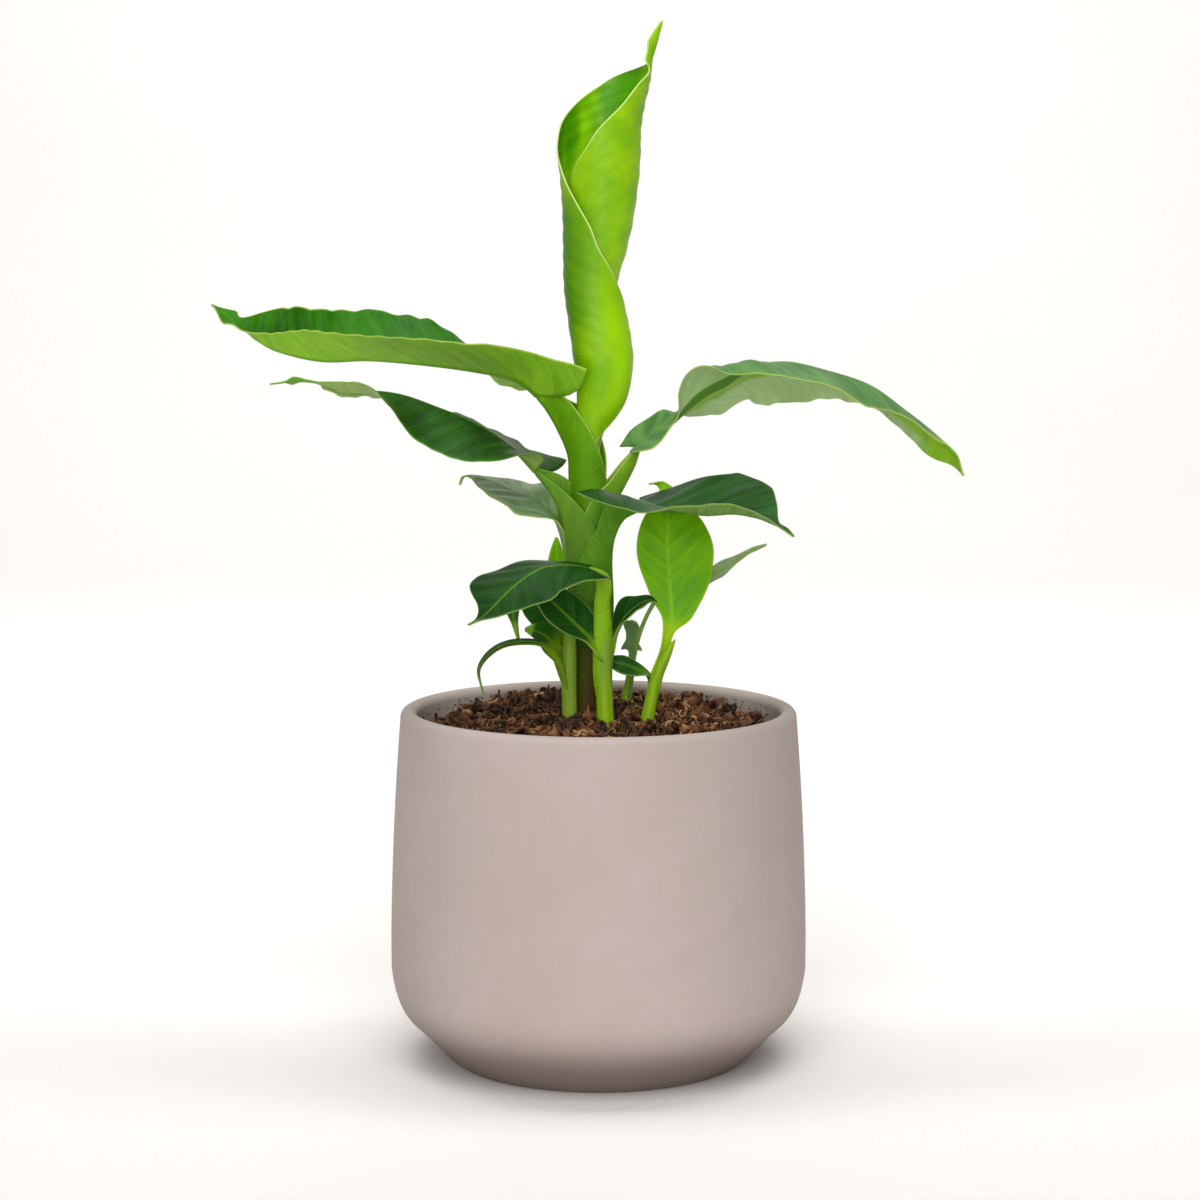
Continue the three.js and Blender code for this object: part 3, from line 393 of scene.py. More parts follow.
def flakes(number):
    """Curled flakes: at u along and v across, the place is an arc that has turned by the curl
    times u, and half the width times v, narrowed to the ends as an oval. The skin lies half a
    thickness above and below, and each flake is turned at random and set down on the soil."""
    gu, gv = (g.ravel() for g in np.meshgrid(CHIP_LENGTHWAYS, CHIP_CROSSWAYS, indexing="ij"))
    rounded = np.sqrt(1 - 0.75 * gu ** 2)
    shortest, longest = CHIP_LONG
    long = shortest + (longest - shortest) * rng.uniform(0, 1, number)[:, None] ** 2.4
    wide = long * rng.uniform(*CHIP_WIDE, number)[:, None]
    curl = rng.uniform(*CHIP_CURL, number)[:, None]
    bend = curl * gu
    radius = long / 2 / curl
    x = radius * np.sin(bend)
    z = radius * (1 - np.cos(bend))
    y = wide / 2 * gv * rounded
    thick = CHIP_THICK * (0.35 + 0.65 * (1 - gu ** 2) * (1 - 0.5 * gv ** 2)) * (long / 5) ** 0.5
    skew = rng.uniform(-0.5, 0.5, number)[:, None]
    upper = np.stack([x - thick / 2 * np.sin(bend), y + skew * gu * wide / 2,
                      z + thick / 2 * np.cos(bend)], 2)
    lower = np.stack([x + thick / 2 * np.sin(bend), y + skew * gu * wide / 2,
                      z - thick / 2 * np.cos(bend)], 2)
    points = np.concatenate([upper, lower], 1)
    points = turned_about(points, 0, rng.uniform(0, 2 * math.pi, number))
    points = turned_about(points, 1, rng.normal(0, CHIP_TILT, number))
    points = turned_about(points, 2, rng.uniform(0, 2 * math.pi, number))
    place_x, place_y = scattered(number, CHIP_REACH)
    place_z = mound(place_x, place_y) + rng.uniform(*CHIP_LIFT, number)
    points += np.stack([place_x, place_y, place_z], 1)[:, None, :]
    across, n = len(CHIP_CROSSWAYS), len(gu)
    i, j = (g.ravel() for g in np.meshgrid(np.arange(len(CHIP_LENGTHWAYS) - 1),
                                           np.arange(across - 1), indexing="ij"))
    a = i * across + j
    top = np.stack([a, a + across, a + across + 1, a + 1], 1)
    under = top[:, ::-1] + n
    after = np.roll(CHIP_OUTLINE, -1)
    rim = np.stack([after, CHIP_OUTLINE, CHIP_OUTLINE + n, after + n], 1)
    faces = np.concatenate([top, under, rim])
    faces = (faces[None] + 2 * n * np.arange(number)[:, None, None]).reshape(-1, 4)
    shade = rng.uniform(0, 1, number)[:, None] ** 2 * CHIP_SHADE
    # Paler rims along each flake's sides: partly broken edges, partly painted highlight.
    shade = shade + CHIP_EDGE_AND_HIGHLIGHT * np.abs(gv) * (np.abs(gu) < 0.9)
    shade = np.concatenate([shade, shade], 1).ravel()
    return points.reshape(-1, 3), faces.tolist(), shade


def map_channels(tree, key):
    """The three channels of a piece's own map of the given name."""
    named = add_node(tree, "Attribute", {"attribute_name": key}).outputs["Vector"]
    return add_node(tree, "SeparateXYZ", {}, named).outputs


bark, bark_tree, bark_shader = new_material("composted_bark", Roughness=0.8,
                                            Specular_IOR_Level=0.35)
bark_shade = map_channels(bark_tree, "tone")[0]
streak = between(bark_tree, grain(bark_tree, 420, 5), 0.3, 0.7)
bark_tone = blend_colours(bark_tree, between(bark_tree, bark_shade, 0.05, 0.8),
                          *map(linear, BARK_COLOURS))
# Paler rims: partly the bark's broken edges, partly painted highlight.
bark_tone = blend_colours(bark_tree, between(bark_tree, bark_shade, 0.74, 1.05),
                          bark_tone, linear(BARK_EDGE_AND_HIGHLIGHT))
bark_tone = blend_colours(bark_tree, sum_of(bark_tree, streak, 0.5, "MULTIPLY"),
                          bark_tone, linear(BARK_STREAK))
bark_tree.links.new(bark_tone, bark_shader.inputs["Base Color"])
relief(bark_tree, bark_shader, grain(bark_tree, 1400, 4), 0.0003, 0.8)
chip_points, chip_faces, chip_shade = flakes(CHIP_COUNT)
chips = piece_from("bark_chips", chip_points * MM, chip_faces, bark,
                   {"tone": np.stack([chip_shade] * 3, 1)})
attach(chips, "root")

# Coir strands: thin stiff fibres from the husk of coconuts, brown and curved. They were mixed
# into the peat before it was poured, and lie on it and between the chips.
FIBRE_COUNT = 240
FIBRE_LONG = (5, 16)
FIBRE_CURL = (0.3, 2.2)
FIBRE_ARCH = (0.2, 1.6)
FIBRE_TILT = 0.5
FIBRE_THICK = (0.12, 0.26)
FIBRE_LIFT = 0.9
FIBRE_REACH = 58
FIBRE_STEPS = 9
FIBRE_SIDES = 4
FIBRE_COLOURS = ("46301c", "9c7042")


def fibres(number):
    """Curved strands: each path is an arc that has turned by the curl at its ends and rises in
    a parabola between them. The section is a square that thins with the fourth power of the
    distance from the middle."""
    steps = np.linspace(-1, 1, FIBRE_STEPS)
    long = rng.uniform(*FIBRE_LONG, number)[:, None]
    curl = rng.uniform(*FIBRE_CURL, number)[:, None]
    radius = long / 2 / curl
    path = np.stack([radius * np.sin(curl * steps), radius * (1 - np.cos(curl * steps)),
                     rng.uniform(*FIBRE_ARCH, number)[:, None] * (1 - steps ** 2)], 2)
    path = turned_about(path, 0, rng.uniform(-FIBRE_TILT, FIBRE_TILT, number))
    path = turned_about(path, 2, rng.uniform(0, 2 * math.pi, number))
    place_x, place_y = scattered(number, FIBRE_REACH, 1)
    place_z = mound(place_x, place_y, 0.5) + FIBRE_LIFT
    path += np.stack([place_x, place_y, place_z], 1)[:, None, :]
    along = np.gradient(path, axis=1)
    along /= np.linalg.norm(along, axis=2, keepdims=True)
    side = np.cross(along, (0, 0, 1.0))
    side /= np.linalg.norm(side, axis=2, keepdims=True)
    over = np.cross(side, along)
    thick = (rng.uniform(*FIBRE_THICK, number)[:, None] * (1 - 0.8 * steps ** 4))[..., None]
    ring = np.stack([path + thick * side, path + thick * over,
                     path - thick * side, path - thick * over], 2)
    n, last = FIBRE_SIDES, (FIBRE_STEPS - 1) * FIBRE_SIDES
    i, j = (g.ravel() for g in np.meshgrid(np.arange(FIBRE_STEPS - 1), np.arange(n),
                                           indexing="ij"))
    k = (j + 1) % n
    faces = np.stack([i * n + j, (i + 1) * n + j, (i + 1) * n + k, i * n + k], 1)
    faces = np.concatenate([faces, [np.arange(n), last + np.arange(n)[::-1]]])
    faces = (faces[None] + (last + n) * np.arange(number)[:, None, None]).reshape(-1, 4)
    return ring.reshape(-1, 3), faces.tolist()


fibre, fibre_tree, fibre_shader = new_material("coir_fibre", Roughness=0.85)
fibre_tone = blend_colours(fibre_tree, between(fibre_tree, grain(fibre_tree, 60, 3), 0.35, 0.65),
                           *map(linear, FIBRE_COLOURS))
fibre_tree.links.new(fibre_tone, fibre_shader.inputs["Base Color"])
fibre_points, fibre_faces = fibres(FIBRE_COUNT)
strands = piece_from("coir_strands", fibre_points * MM, fibre_faces, fibre)
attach(strands, "root")

# Pale grains: hard bits of straw-coloured grit, none larger than a pin's head. They are part
# of the potting mix and lie scattered over the chips.
GRAIN_COUNT = 420
GRAIN_SIZE = (0.22, 0.7)
GRAIN_LIFT = (0.2, 1.6)
GRAIN_SIDES = 5
GRAIN_POINT = 0.8
GRIT_COLOURS = ("d3a566", "f2dcb4")


def grains(places, sizes):
    """Small grains at the given places: each is a double cone over a ring of five points,
    with a size of its own, stretched along its three axes and turned at random."""
    turn = np.arange(GRAIN_SIDES) * 2 * math.pi / GRAIN_SIDES
    base = np.concatenate([np.stack([np.cos(turn), np.sin(turn), 0 * turn], 1),
                           [[0, 0, GRAIN_POINT], [0, 0, -GRAIN_POINT]]])
    number = len(places)
    points = base[None] * rng.uniform(*sizes, number)[:, None, None]
    points = points * rng.uniform(0.6, 1.3, (number, 1, 3))
    points = turned_about(points, 0, rng.uniform(0, 3, number))
    points = turned_about(points, 2, rng.uniform(0, 6, number)) + places[:, None, :]
    a = np.arange(GRAIN_SIDES)
    b = (a + 1) % GRAIN_SIDES
    faces = np.concatenate([np.stack([a, b, 0 * a + GRAIN_SIDES], 1),
                            np.stack([b, a, 0 * a + GRAIN_SIDES + 1], 1)])
    faces = (faces[None] + len(base) * np.arange(number)[:, None, None]).reshape(-1, 3)
    return points.reshape(-1, 3), faces.tolist()


pale, pale_tree, pale_shader = new_material("pale_grit", Roughness=0.7)
pale_tone = blend_colours(pale_tree, between(pale_tree, grain(pale_tree, 90, 2), 0.4, 0.6),
                          *map(linear, GRIT_COLOURS))
pale_tree.links.new(pale_tone, pale_shader.inputs["Base Color"])
grain_x, grain_y = scattered(GRAIN_COUNT, CHIP_REACH)
grain_z = mound(grain_x, grain_y) + rng.uniform(*GRAIN_LIFT, GRAIN_COUNT)
grit_points, grit_faces = grains(np.stack([grain_x, grain_y, grain_z], 1), GRAIN_SIZE)
grit = piece_from("pale_grains", grit_points * MM, grit_faces, pale)
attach(grit, "root")

# Wall specks: crumbs of the peat that watering has splashed on the inner wall above the soil.
# They stick to the glaze, most of them at the back, in two groups.
SPECK_COUNT = 260
SPECK_SIZE = (0.12, 0.42)
SPECK_SINK = 0.1
SPECK_LEFT = (2.2, 0.35)
SPECK_RIGHT = (1.0, 0.3)
SPECK_CLIMB = 1.9

speck_turn = np.concatenate([rng.normal(*SPECK_LEFT, SPECK_COUNT // 2),
                             rng.normal(*SPECK_RIGHT, SPECK_COUNT // 3),
                             rng.uniform(0, 2 * math.pi, SPECK_COUNT // 4)])
speck_height = SOIL_EDGE + 0.4 + np.abs(rng.normal(0, SPECK_CLIMB, len(speck_turn)))
speck_height = np.minimum(speck_height, POT_HEIGHT - LIP_RADIUS - 0.3)
speck_places = np.stack([(WALL_BORE - SPECK_SINK) * np.cos(speck_turn),
                         (WALL_BORE - SPECK_SINK) * np.sin(speck_turn), speck_height], 1)
speck_points, speck_faces = grains(speck_places, SPECK_SIZE)
specks = piece_from("wall_specks", speck_points * MM, speck_faces, peat)
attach(specks, "root")

# Stems: each shoot is a false stem, a firm roll of the wrapped bases of its own leaves. It
# has grown up through the soil and stands in it, and the main one is brown at the foot.
STEM_SIDES = 64
STEM_STEP = 0.8
BROAD_RIBS = (0.012, 9, 0.05)
NARROW_RIBS = (0.006, 23)
STEM_TOP = (1.6, 1.8)
SWELL_PLACE = (121, 5)
MAIN_SWELL = 0.5
SHOOT_SWELL = 0.25
STEM_STREAK = "a9c95a"
STEM_SPOTS = "5a5a20"
STEM_COLOUR_WANDER = 12 * MM
# Each station of a stem's path is its place and the stem's radius there.
STEMS = {
    "main": [(-4, 10, 108, 6.4), (-4, 9.5, 124, 6.4), (-3.6, 9, 145, 6.2), (-3, 8, 175, 6),
             (-3, 7, 198, 5.8), (-3.4, 7, 210, 5.6)],
    "front": [(2.2, -19, 108, 3), (2.4, -19, 126, 3), (1.8, -18.5, 142, 2.9),
              (1.8, -18, 156, 2.6)],
    "left": [(-10.4, 1.5, 108, 2.6), (-10.4, 1.5, 124, 2.7), (-10.6, 2, 138, 2.8),
             (-10.4, 2.5, 148, 2.6), (-10, 3.1, 157, 2.1)],
    "back": [(8.8, 25, 108, 1.8), (9.4, 25, 124, 1.7), (11, 25, 132, 1.6), (12, 24.6, 139, 1.4)],
    "right": [(16.6, -10, 108, 2.5), (17, -10, 122, 2.5), (18.6, -9.4, 131, 2.3),
              (21, -8.8, 141, 2.2), (24.2, -8.6, 148, 1.7), (27.4, -8.9, 153.8, 0.3)],
}
# The colours at the foot, low down and higher up, and the heights where they meet.
FOOT_COLOURS = {
    "main": ("50340c", "4c4e00", "5c9000", (124, 150, 172)),
    "front": ("a4c010", "94bc10", "7c9c2c", (122, 134, 152)),
    "left": ("a4bc2c", "9cb838", "90b438", (122, 128, 142)),
    "back": ("b0cc38", "a0cc30", "94c428", (122, 128, 138)),
    "right": ("c8ac68", "92b018", "8cb414", (121, 125, 134)),
}


def smooth_rows(places, rows, at):
    """Values at places along a row of stations: cubics that pass through every station, with
    the slope there shared by length between the stretches beside it."""
    rows = np.array(rows, dtype=float)
    rise = np.diff(rows, axis=0) / np.diff(places)[:, None]
    share = np.diff(places)[:, None]
    slope = np.concatenate([
        rise[:1], (rise[1:] * share[1:] + rise[:-1] * share[:-1]) / (share[1:] + share[:-1]),
        rise[-1:]])
    i = np.clip(np.searchsorted(places, at, "left") - 1, 0, len(rows) - 2)
    span = (places[i + 1] - places[i])[:, None]
    u = (at - places[i])[:, None] / span
    return (rows[i] * (1 + 2 * u) * (1 - u) ** 2 + slope[i] * u * (1 - u) ** 2 * span
            + rows[i + 1] * u * u * (3 - 2 * u) + slope[i + 1] * u * u * (u - 1) * span)


def lengths_along(rows):
    """Distance of each station from the first, along straight stretches."""
    xyz = np.array([row[:3] for row in rows], dtype=float)
    return np.concatenate([[0], np.cumsum(np.linalg.norm(np.diff(xyz, axis=0), axis=1))])


def unit(vectors):
    """Vectors divided by their lengths."""
    return vectors / np.linalg.norm(vectors, axis=-1, keepdims=True)


def tube_faces(rows, columns):
    """Quads round a tube of rings, with a fan of the first and of the last ring at its ends."""
    i, j = np.meshgrid(np.arange(rows - 1), np.arange(columns), indexing="ij")
    k = (j + 1) % columns
    quads = np.stack([i * columns + j, i * columns + k, (i + 1) * columns + k,
                      (i + 1) * columns + j], 2).reshape(-1, 4).tolist()
    foot = list(range(columns))[::-1]
    head = list(range((rows - 1) * columns, rows * columns))
    return quads + [foot, head]


def stem_points(stations, swell):
    """Rings about a stem's path: circles of the radius there, waved round the stem by two
    sines as soft ribs, with a bell-shaped swell at the soil and a rounded top."""
    places = lengths_along(stations)
    at = np.linspace(0, places[-1], int(places[-1] / STEM_STEP))
    x, y, z, radius = smooth_rows(places, stations, at).T
    path = np.stack([x, y, z], 1)
    along = unit(np.gradient(path, axis=0))
    side = unit(np.array([1.0, 0, 0]) - along * along[:, :1])
    over = np.cross(along, side)
    turn = np.arange(STEM_SIDES) * 2 * math.pi / STEM_SIDES
    broad, broad_count, twist = BROAD_RIBS
    narrow, narrow_count = NARROW_RIBS
    ribs = (1 + broad * np.sin(broad_count * turn + twist * z[:, None])
            + narrow * np.sin(narrow_count * turn))
    top_length, top_radius = STEM_TOP
    past = np.clip((at - places[-1] + top_length) / top_radius, 0, 1)
    rounded = np.sqrt(np.clip(1 - past ** 2, 0.05, 1))
    swell_height, swell_spread = SWELL_PLACE
    swelling = swell * np.exp(-((z - swell_height) / swell_spread) ** 2)
    reach = (radius * rounded)[:, None] * ribs + swelling[:, None]
    return (path[:, None] + side[:, None] * (reach * np.cos(turn))[..., None]
            + over[:, None] * (reach * np.sin(turn))[..., None])


def stem_finish(name, colours):
    """Fresh stem skin: brown or pale at the foot, then green, with fine lengthways streaks."""
    foot, low, high, (z0, z1, z2) = colours
    material, tree, shader = new_material(name, Roughness=0.42, Specular_IOR_Level=0.15,
                                          Subsurface_Weight=0.06, Subsurface_Scale=0.002)
    place = add_node(tree, "TexCoord", {}).outputs["Object"]
    height = add_node(tree, "SeparateXYZ", {}, place).outputs[2]
    wander = sum_of(tree, grain(tree, 120, 3, (1, 1, 0.3)), STEM_COLOUR_WANDER, "MULTIPLY")
    height = sum_of(tree, height, wander)
    tone = blend_colours(tree, between(tree, height, z0 * MM, z1 * MM), linear(foot), linear(low))
    tone = blend_colours(tree, between(tree, height, z1 * MM, z2 * MM), tone, linear(high))
    streak = between(tree, grain(tree, 900, 4, (1, 1, 0.04)), 0.35, 0.7)
    tone = blend_colours(tree, sum_of(tree, streak, 0.35, "MULTIPLY"), tone,
                         linear(STEM_STREAK), "MULTIPLY")
    spots = between(tree, grain(tree, 260, 2, (1, 1, 0.6)), 0.68, 0.74)
    tone = blend_colours(tree, sum_of(tree, spots, 0.6, "MULTIPLY"), tone, linear(STEM_SPOTS))
    tree.links.new(tone, shader.inputs["Base Color"])
    relief(tree, shader, grain(tree, 900, 3, (1, 1, 0.04)), 0.0002, 0.5)
    return material


for stem_name, stations in STEMS.items():
    points = stem_points(stations, MAIN_SWELL if stem_name == "main" else SHOOT_SWELL)
    finish = stem_finish("skin_of_stem_" + stem_name, FOOT_COLOURS[stem_name])
    stem = piece_from("shoot_" + stem_name, points * MM, tube_faces(*points.shape[:2]), finish)
    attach(stem, "root")
    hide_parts("stem_" + stem_name)

# Leaves of the main stem: five soft paddle-shaped blades on grooved stalks whose bases wrap the
# stem. Each is one thin sheet with a thick midrib below, a pale margin and fine side veins.
EDGE_THICKNESS = 0.5
TIP_THICKNESS = 0.7
RIB_RISE = 0.22
RIB_SHARE = 0.45
RIB_SPREAD = 0.95
LEAST_WIDTH = 0.3
ACROSS = np.array([0, 0.03, 0.08, 0.15, 0.24, 0.34, 0.45, 0.56, 0.67, 0.78, 0.88, 0.95, 1.0])
LEAF_STEP = 1.1
VEIN_SPACING = 8.5
FRAME_REACH = 3
LOBE_LENGTH = 9
BLADE_FADE = 8
FIRST_BLADE_STATION = 3
PLAIN_FADE_FROM = 6
LOBED_FADE_FROM = 14
STALK_END = 0.2
WAVE_FADE = 20
SCALLOP_LEVEL = 0.6
QUILT_FADE = 1.15
QUILT_GAIN = 2.6
TILT_EASE = 0.08


def looped(values):
    """Values on the upper face of closed sections, carried over the rims to the lower face."""
    return np.concatenate([values, values[:, -1:], values[:, ::-1], values[:, :1]], 1)


def upper_face(rows, columns):
    """1 on the upper face of closed sections, 0 on the lower face and a half on the rims."""
    return np.tile(np.repeat([1, 0.5, 0, 0.5], [columns, 1, columns, 1]), (rows, 1))


def leaf_stretch(stations, form, start, tip):
    """Closed sections of one stretch of a leaf, and its two maps. A station is (x, y, z, left,
    right, fold left, fold right, curl left, curl right, roll, lean): a place on the midrib, the
    half widths, the angle at which each half leaves the midrib, the further angle that it bends
    through, the turn of the section about the midrib, and how far the halves lean ahead.

    At the share q of a half width the section has turned by fold + curl q. So it lies the width
    times (sin(fold + curl q) - sin fold) / curl beside the midrib, and the width times
    (cos fold - cos(fold + curl q)) / curl above it. Sine waves between the side veins and along
    the margin are added to that. The skin lies half a thickness above and below, and the midrib
    stands out by a bell over its thickness, most of it below.

    The map veins holds the place along the side veins, the distance from the midrib, less than
    0 on the left, and the distance from the margin, in millimetres. The map parts holds the
    upper face, the blade, and the share of the leaf's length."""
    places = lengths_along(stations)
    end = places[-1]
    at = np.linspace(0, end, max(int(end / LEAF_STEP), 6))
    rows = smooth_rows(places, stations, at)
    ahead = smooth_rows(places, stations, np.minimum(at + FRAME_REACH, end))[:, :3]
    behind = smooth_rows(places, stations, np.maximum(at - FRAME_REACH, 0))[:, :3]
    along = unit(ahead - behind)
    heading = math.radians(form["heading"])
    level = unit(np.cross((math.sin(heading), -math.cos(heading), 0), along))
    beside = np.cross(along, level)
    roll = np.radians(rows[:, 9:10])
    up = level * np.cos(roll) + beside * np.sin(roll)
    right = beside * np.cos(roll) - level * np.sin(roll)

    signed = np.concatenate([-ACROSS[:0:-1], ACROSS])
    hand = np.where(signed < 0, -1.0, 1.0)
    q = np.abs(signed)
    side = (signed >= 0).astype(int)
    s = start + at[:, None]
    width = np.maximum(rows[:, 3:5], LEAST_WIDTH)[:, side]
    fold = np.radians(rows[:, 5:7])[:, side]
    curl = np.radians(rows[:, 7:9])[:, side]
    curl = np.where(np.abs(curl) < 1e-3, 1e-3, curl)
    blade = np.clip((s - form["blade"]) / BLADE_FADE, 0, 1)
    blade = blade * blade * (3 - 2 * blade)
    waved = blade * np.clip((tip - s) / WAVE_FADE, 0, 1)
    for share, period, phase in form["scallops"]:
        bumps = np.abs(np.sin(math.pi * s / period + phase)) - SCALLOP_LEVEL
        width = width * (1 + share * waved * bumps * (side == form["scalloped"]))
    turn = fold + curl * q
    across = width * (np.sin(turn) - np.sin(fold)) / curl
    rise = width * (np.cos(fold) - np.cos(turn)) / curl
    vein = s - form["lead"] * width * q
    quilt = form["quilt"] * waved * np.sin(2 * math.pi * vein / VEIN_SPACING)
    quilt = quilt * q * (QUILT_FADE - q) * QUILT_GAIN
    calm = np.array(form["calm"])[side]
    edge_wave = calm * sum(
        size * waved * q ** 3 * np.sin(2 * math.pi * s / period + phase + hand)
        for size, period, phase in form["waves"])
    rib = form["stalk"] + (TIP_THICKNESS - form["stalk"]) * s / tip
    ribbed = np.minimum(rib - EDGE_THICKNESS, RIB_SHARE * width)
    ribbed = ribbed * np.exp(-(width * q / (RIB_SPREAD * rib)) ** 2)
    tilt = hand * turn * np.clip(q / TILT_EASE, 0, 1)
    lean = rows[:, 10:11] * np.array([form["left_lean"], 1])[side]
    round_lobe = np.array(form["lobe"])[side] * np.sin(math.pi * q)
    round_lobe = round_lobe * np.clip(1 - at / LOBE_LENGTH, 0, 1)[:, None] ** 2

    def skin(offset):
        """The section's points, moved off its arc by the offset."""
        b = hand * across - np.sin(tilt) * offset
        n = rise + np.cos(tilt) * offset
        t = lean * across - round_lobe
        return (rows[:, None, :3] + right[:, None] * b[..., None] + up[:, None] * n[..., None]
                + along[:, None] * t[..., None])

    sway = quilt + edge_wave
    upper = skin(sway + EDGE_THICKNESS / 2 + RIB_RISE * ribbed)
    lower = skin(sway - EDGE_THICKNESS / 2 - (1 - RIB_RISE) * ribbed)
    outward = (right[:, None] * (hand * np.cos(turn))[..., None]
               + up[:, None] * np.sin(turn)[..., None])
    rim = (upper + lower) / 2 + outward * EDGE_THICKNESS * 0.5
    points = np.concatenate([upper, rim[:, -1:], lower[:, ::-1], rim[:, :1]], 1)
    level_rows = np.zeros_like(width)
    veins = np.stack([looped(vein), looped(width * signed), looped(width * (1 - q))], 2)
    parts = np.stack([upper_face(*width.shape), looped(blade + level_rows),
                      looped(s / tip + level_rows)], 2)
    return points, veins, parts


def sheet_faces(rows, columns, first=0):
    """Quads round the closed sections of a leaf, and strips that close its two ends. First is
    the number of the first section's first point."""
    face = (columns - 2) // 2
    i, j = np.meshgrid(np.arange(rows - 1), np.arange(columns), indexing="ij")
    k = (j + 1) % columns
    quads = np.stack([i * columns + j, i * columns + k, (i + 1) * columns + k,
                      (i + 1) * columns + j], 2).reshape(-1, 4)
    c = np.arange(face - 1)
    strip = np.stack([c, 2 * face - c, 2 * face - c - 1, c + 1], 1)
    corners = np.array([[face - 1, face + 1, face], [0, 2 * face + 1, 2 * face]])
    last = (rows - 1) * columns
    groups = [quads, strip, corners, strip[:, ::-1] + last, corners[:, ::-1] + last]
    return sum(((group + first).tolist() for group in groups), [])


def add_leaf(name, node, stations, finish, slot, lobed=None, **form):
    """One leaf with its stalk. A lobed blade starts at the station of that number with its full
    width, round its stalk. The form says: heading, the direction in plan in which it grows;
    stalk, the thickness of the midrib at its foot; lead, how far the side veins run ahead;
    quilt, the height of the waves between them; waves, the (height, period, phase) of the
    margin's ripples, and calm, the share of them on each half; scallops, the (share, period,
    phase) of its notches, and scalloped, the half that has them; left_lean, the share of the
    lean on the left half; lobe, how far each half reaches back at its base."""
    form = {"stalk": 1.9, "lead": 0.9, "quilt": 0.25, "waves": [], "calm": (1, 1),
            "scallops": [], "scalloped": 0, "left_lean": 1, "lobe": (0, 0), **form}
    places = lengths_along(stations)
    tip = places[-1]
    if lobed is None:
        form["blade"] = places[FIRST_BLADE_STATION] - PLAIN_FADE_FROM
        stretches = [leaf_stretch(stations, form, 0, tip)]
    else:
        form["blade"] = places[lobed] - LOBED_FADE_FROM
        x, y, z, left, right, *turns = stations[lobed][:3] + stations[lobed - 1][3:]
        petiole = stations[:lobed] + [(x, y, z, STALK_END * left, STALK_END * right, *turns)]
        stretches = [leaf_stretch(petiole, {**form, "blade": math.inf, "lobe": (0, 0)}, 0, tip),
                     leaf_stretch(stations[lobed:], form, places[lobed], tip)]
    faces, first = [], 0
    for points, _, _ in stretches:
        faces += sheet_faces(*points.shape[:2], first)
        first += points.shape[0] * points.shape[1]
    points, veins, parts = (np.concatenate([piece[k].reshape(-1, 3) for piece in stretches])
                            for k in range(3))
    leaf = piece_from(name, points * MM, faces, finish, {"veins": veins, "parts": parts})
    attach(leaf, "root")
    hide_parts(node)


# On the skin: how closely the fine veins lie, how far bands reach along and across the side
# veins, and in millimetres how wide the painted glow at the margin and the pale rim are. The
# midrib narrows to the tip, and below it is wider, and wider and shifted again where painted
# shade darkens its right side; the last values place and colour that painted shade.
FINE_VEIN_PACE = 5.6
BAND_PACE = (0.3, 0.045)
PAINTED_GLOW_WIDTH = 7.0
RIM_WIDTH = (0.05, 0.42)
TIP_SHARE = (0.87, 0.93)
RIB_TAPER = 0.9
RIB_FOOT_WIDTH = 1.25
RIB_BELOW = 1.9
# Painted shade beside the midrib below: rib widening, rib shift, place, width, end and colour.
RIB_SHADE_WIDENS = 3.2
RIB_SHADE_SHIFTS = 4.0
RIB_SHADE_PLACE = 1.1
RIB_SHADE_WIDTH = (0.8, 1.7)
RIB_SHADE_END = (0.42, 0.58)
RIB_PAINTED_SHADE = "3f7406"


def ridges(tree, place, pace, low):
    """Ridges across a map: the sine of the place times the pace, eased from low to 1."""
    wave = sum_of(tree, sum_of(tree, place, pace, "MULTIPLY"), None, "SINE")
    return between(tree, wave, low, 1.0)


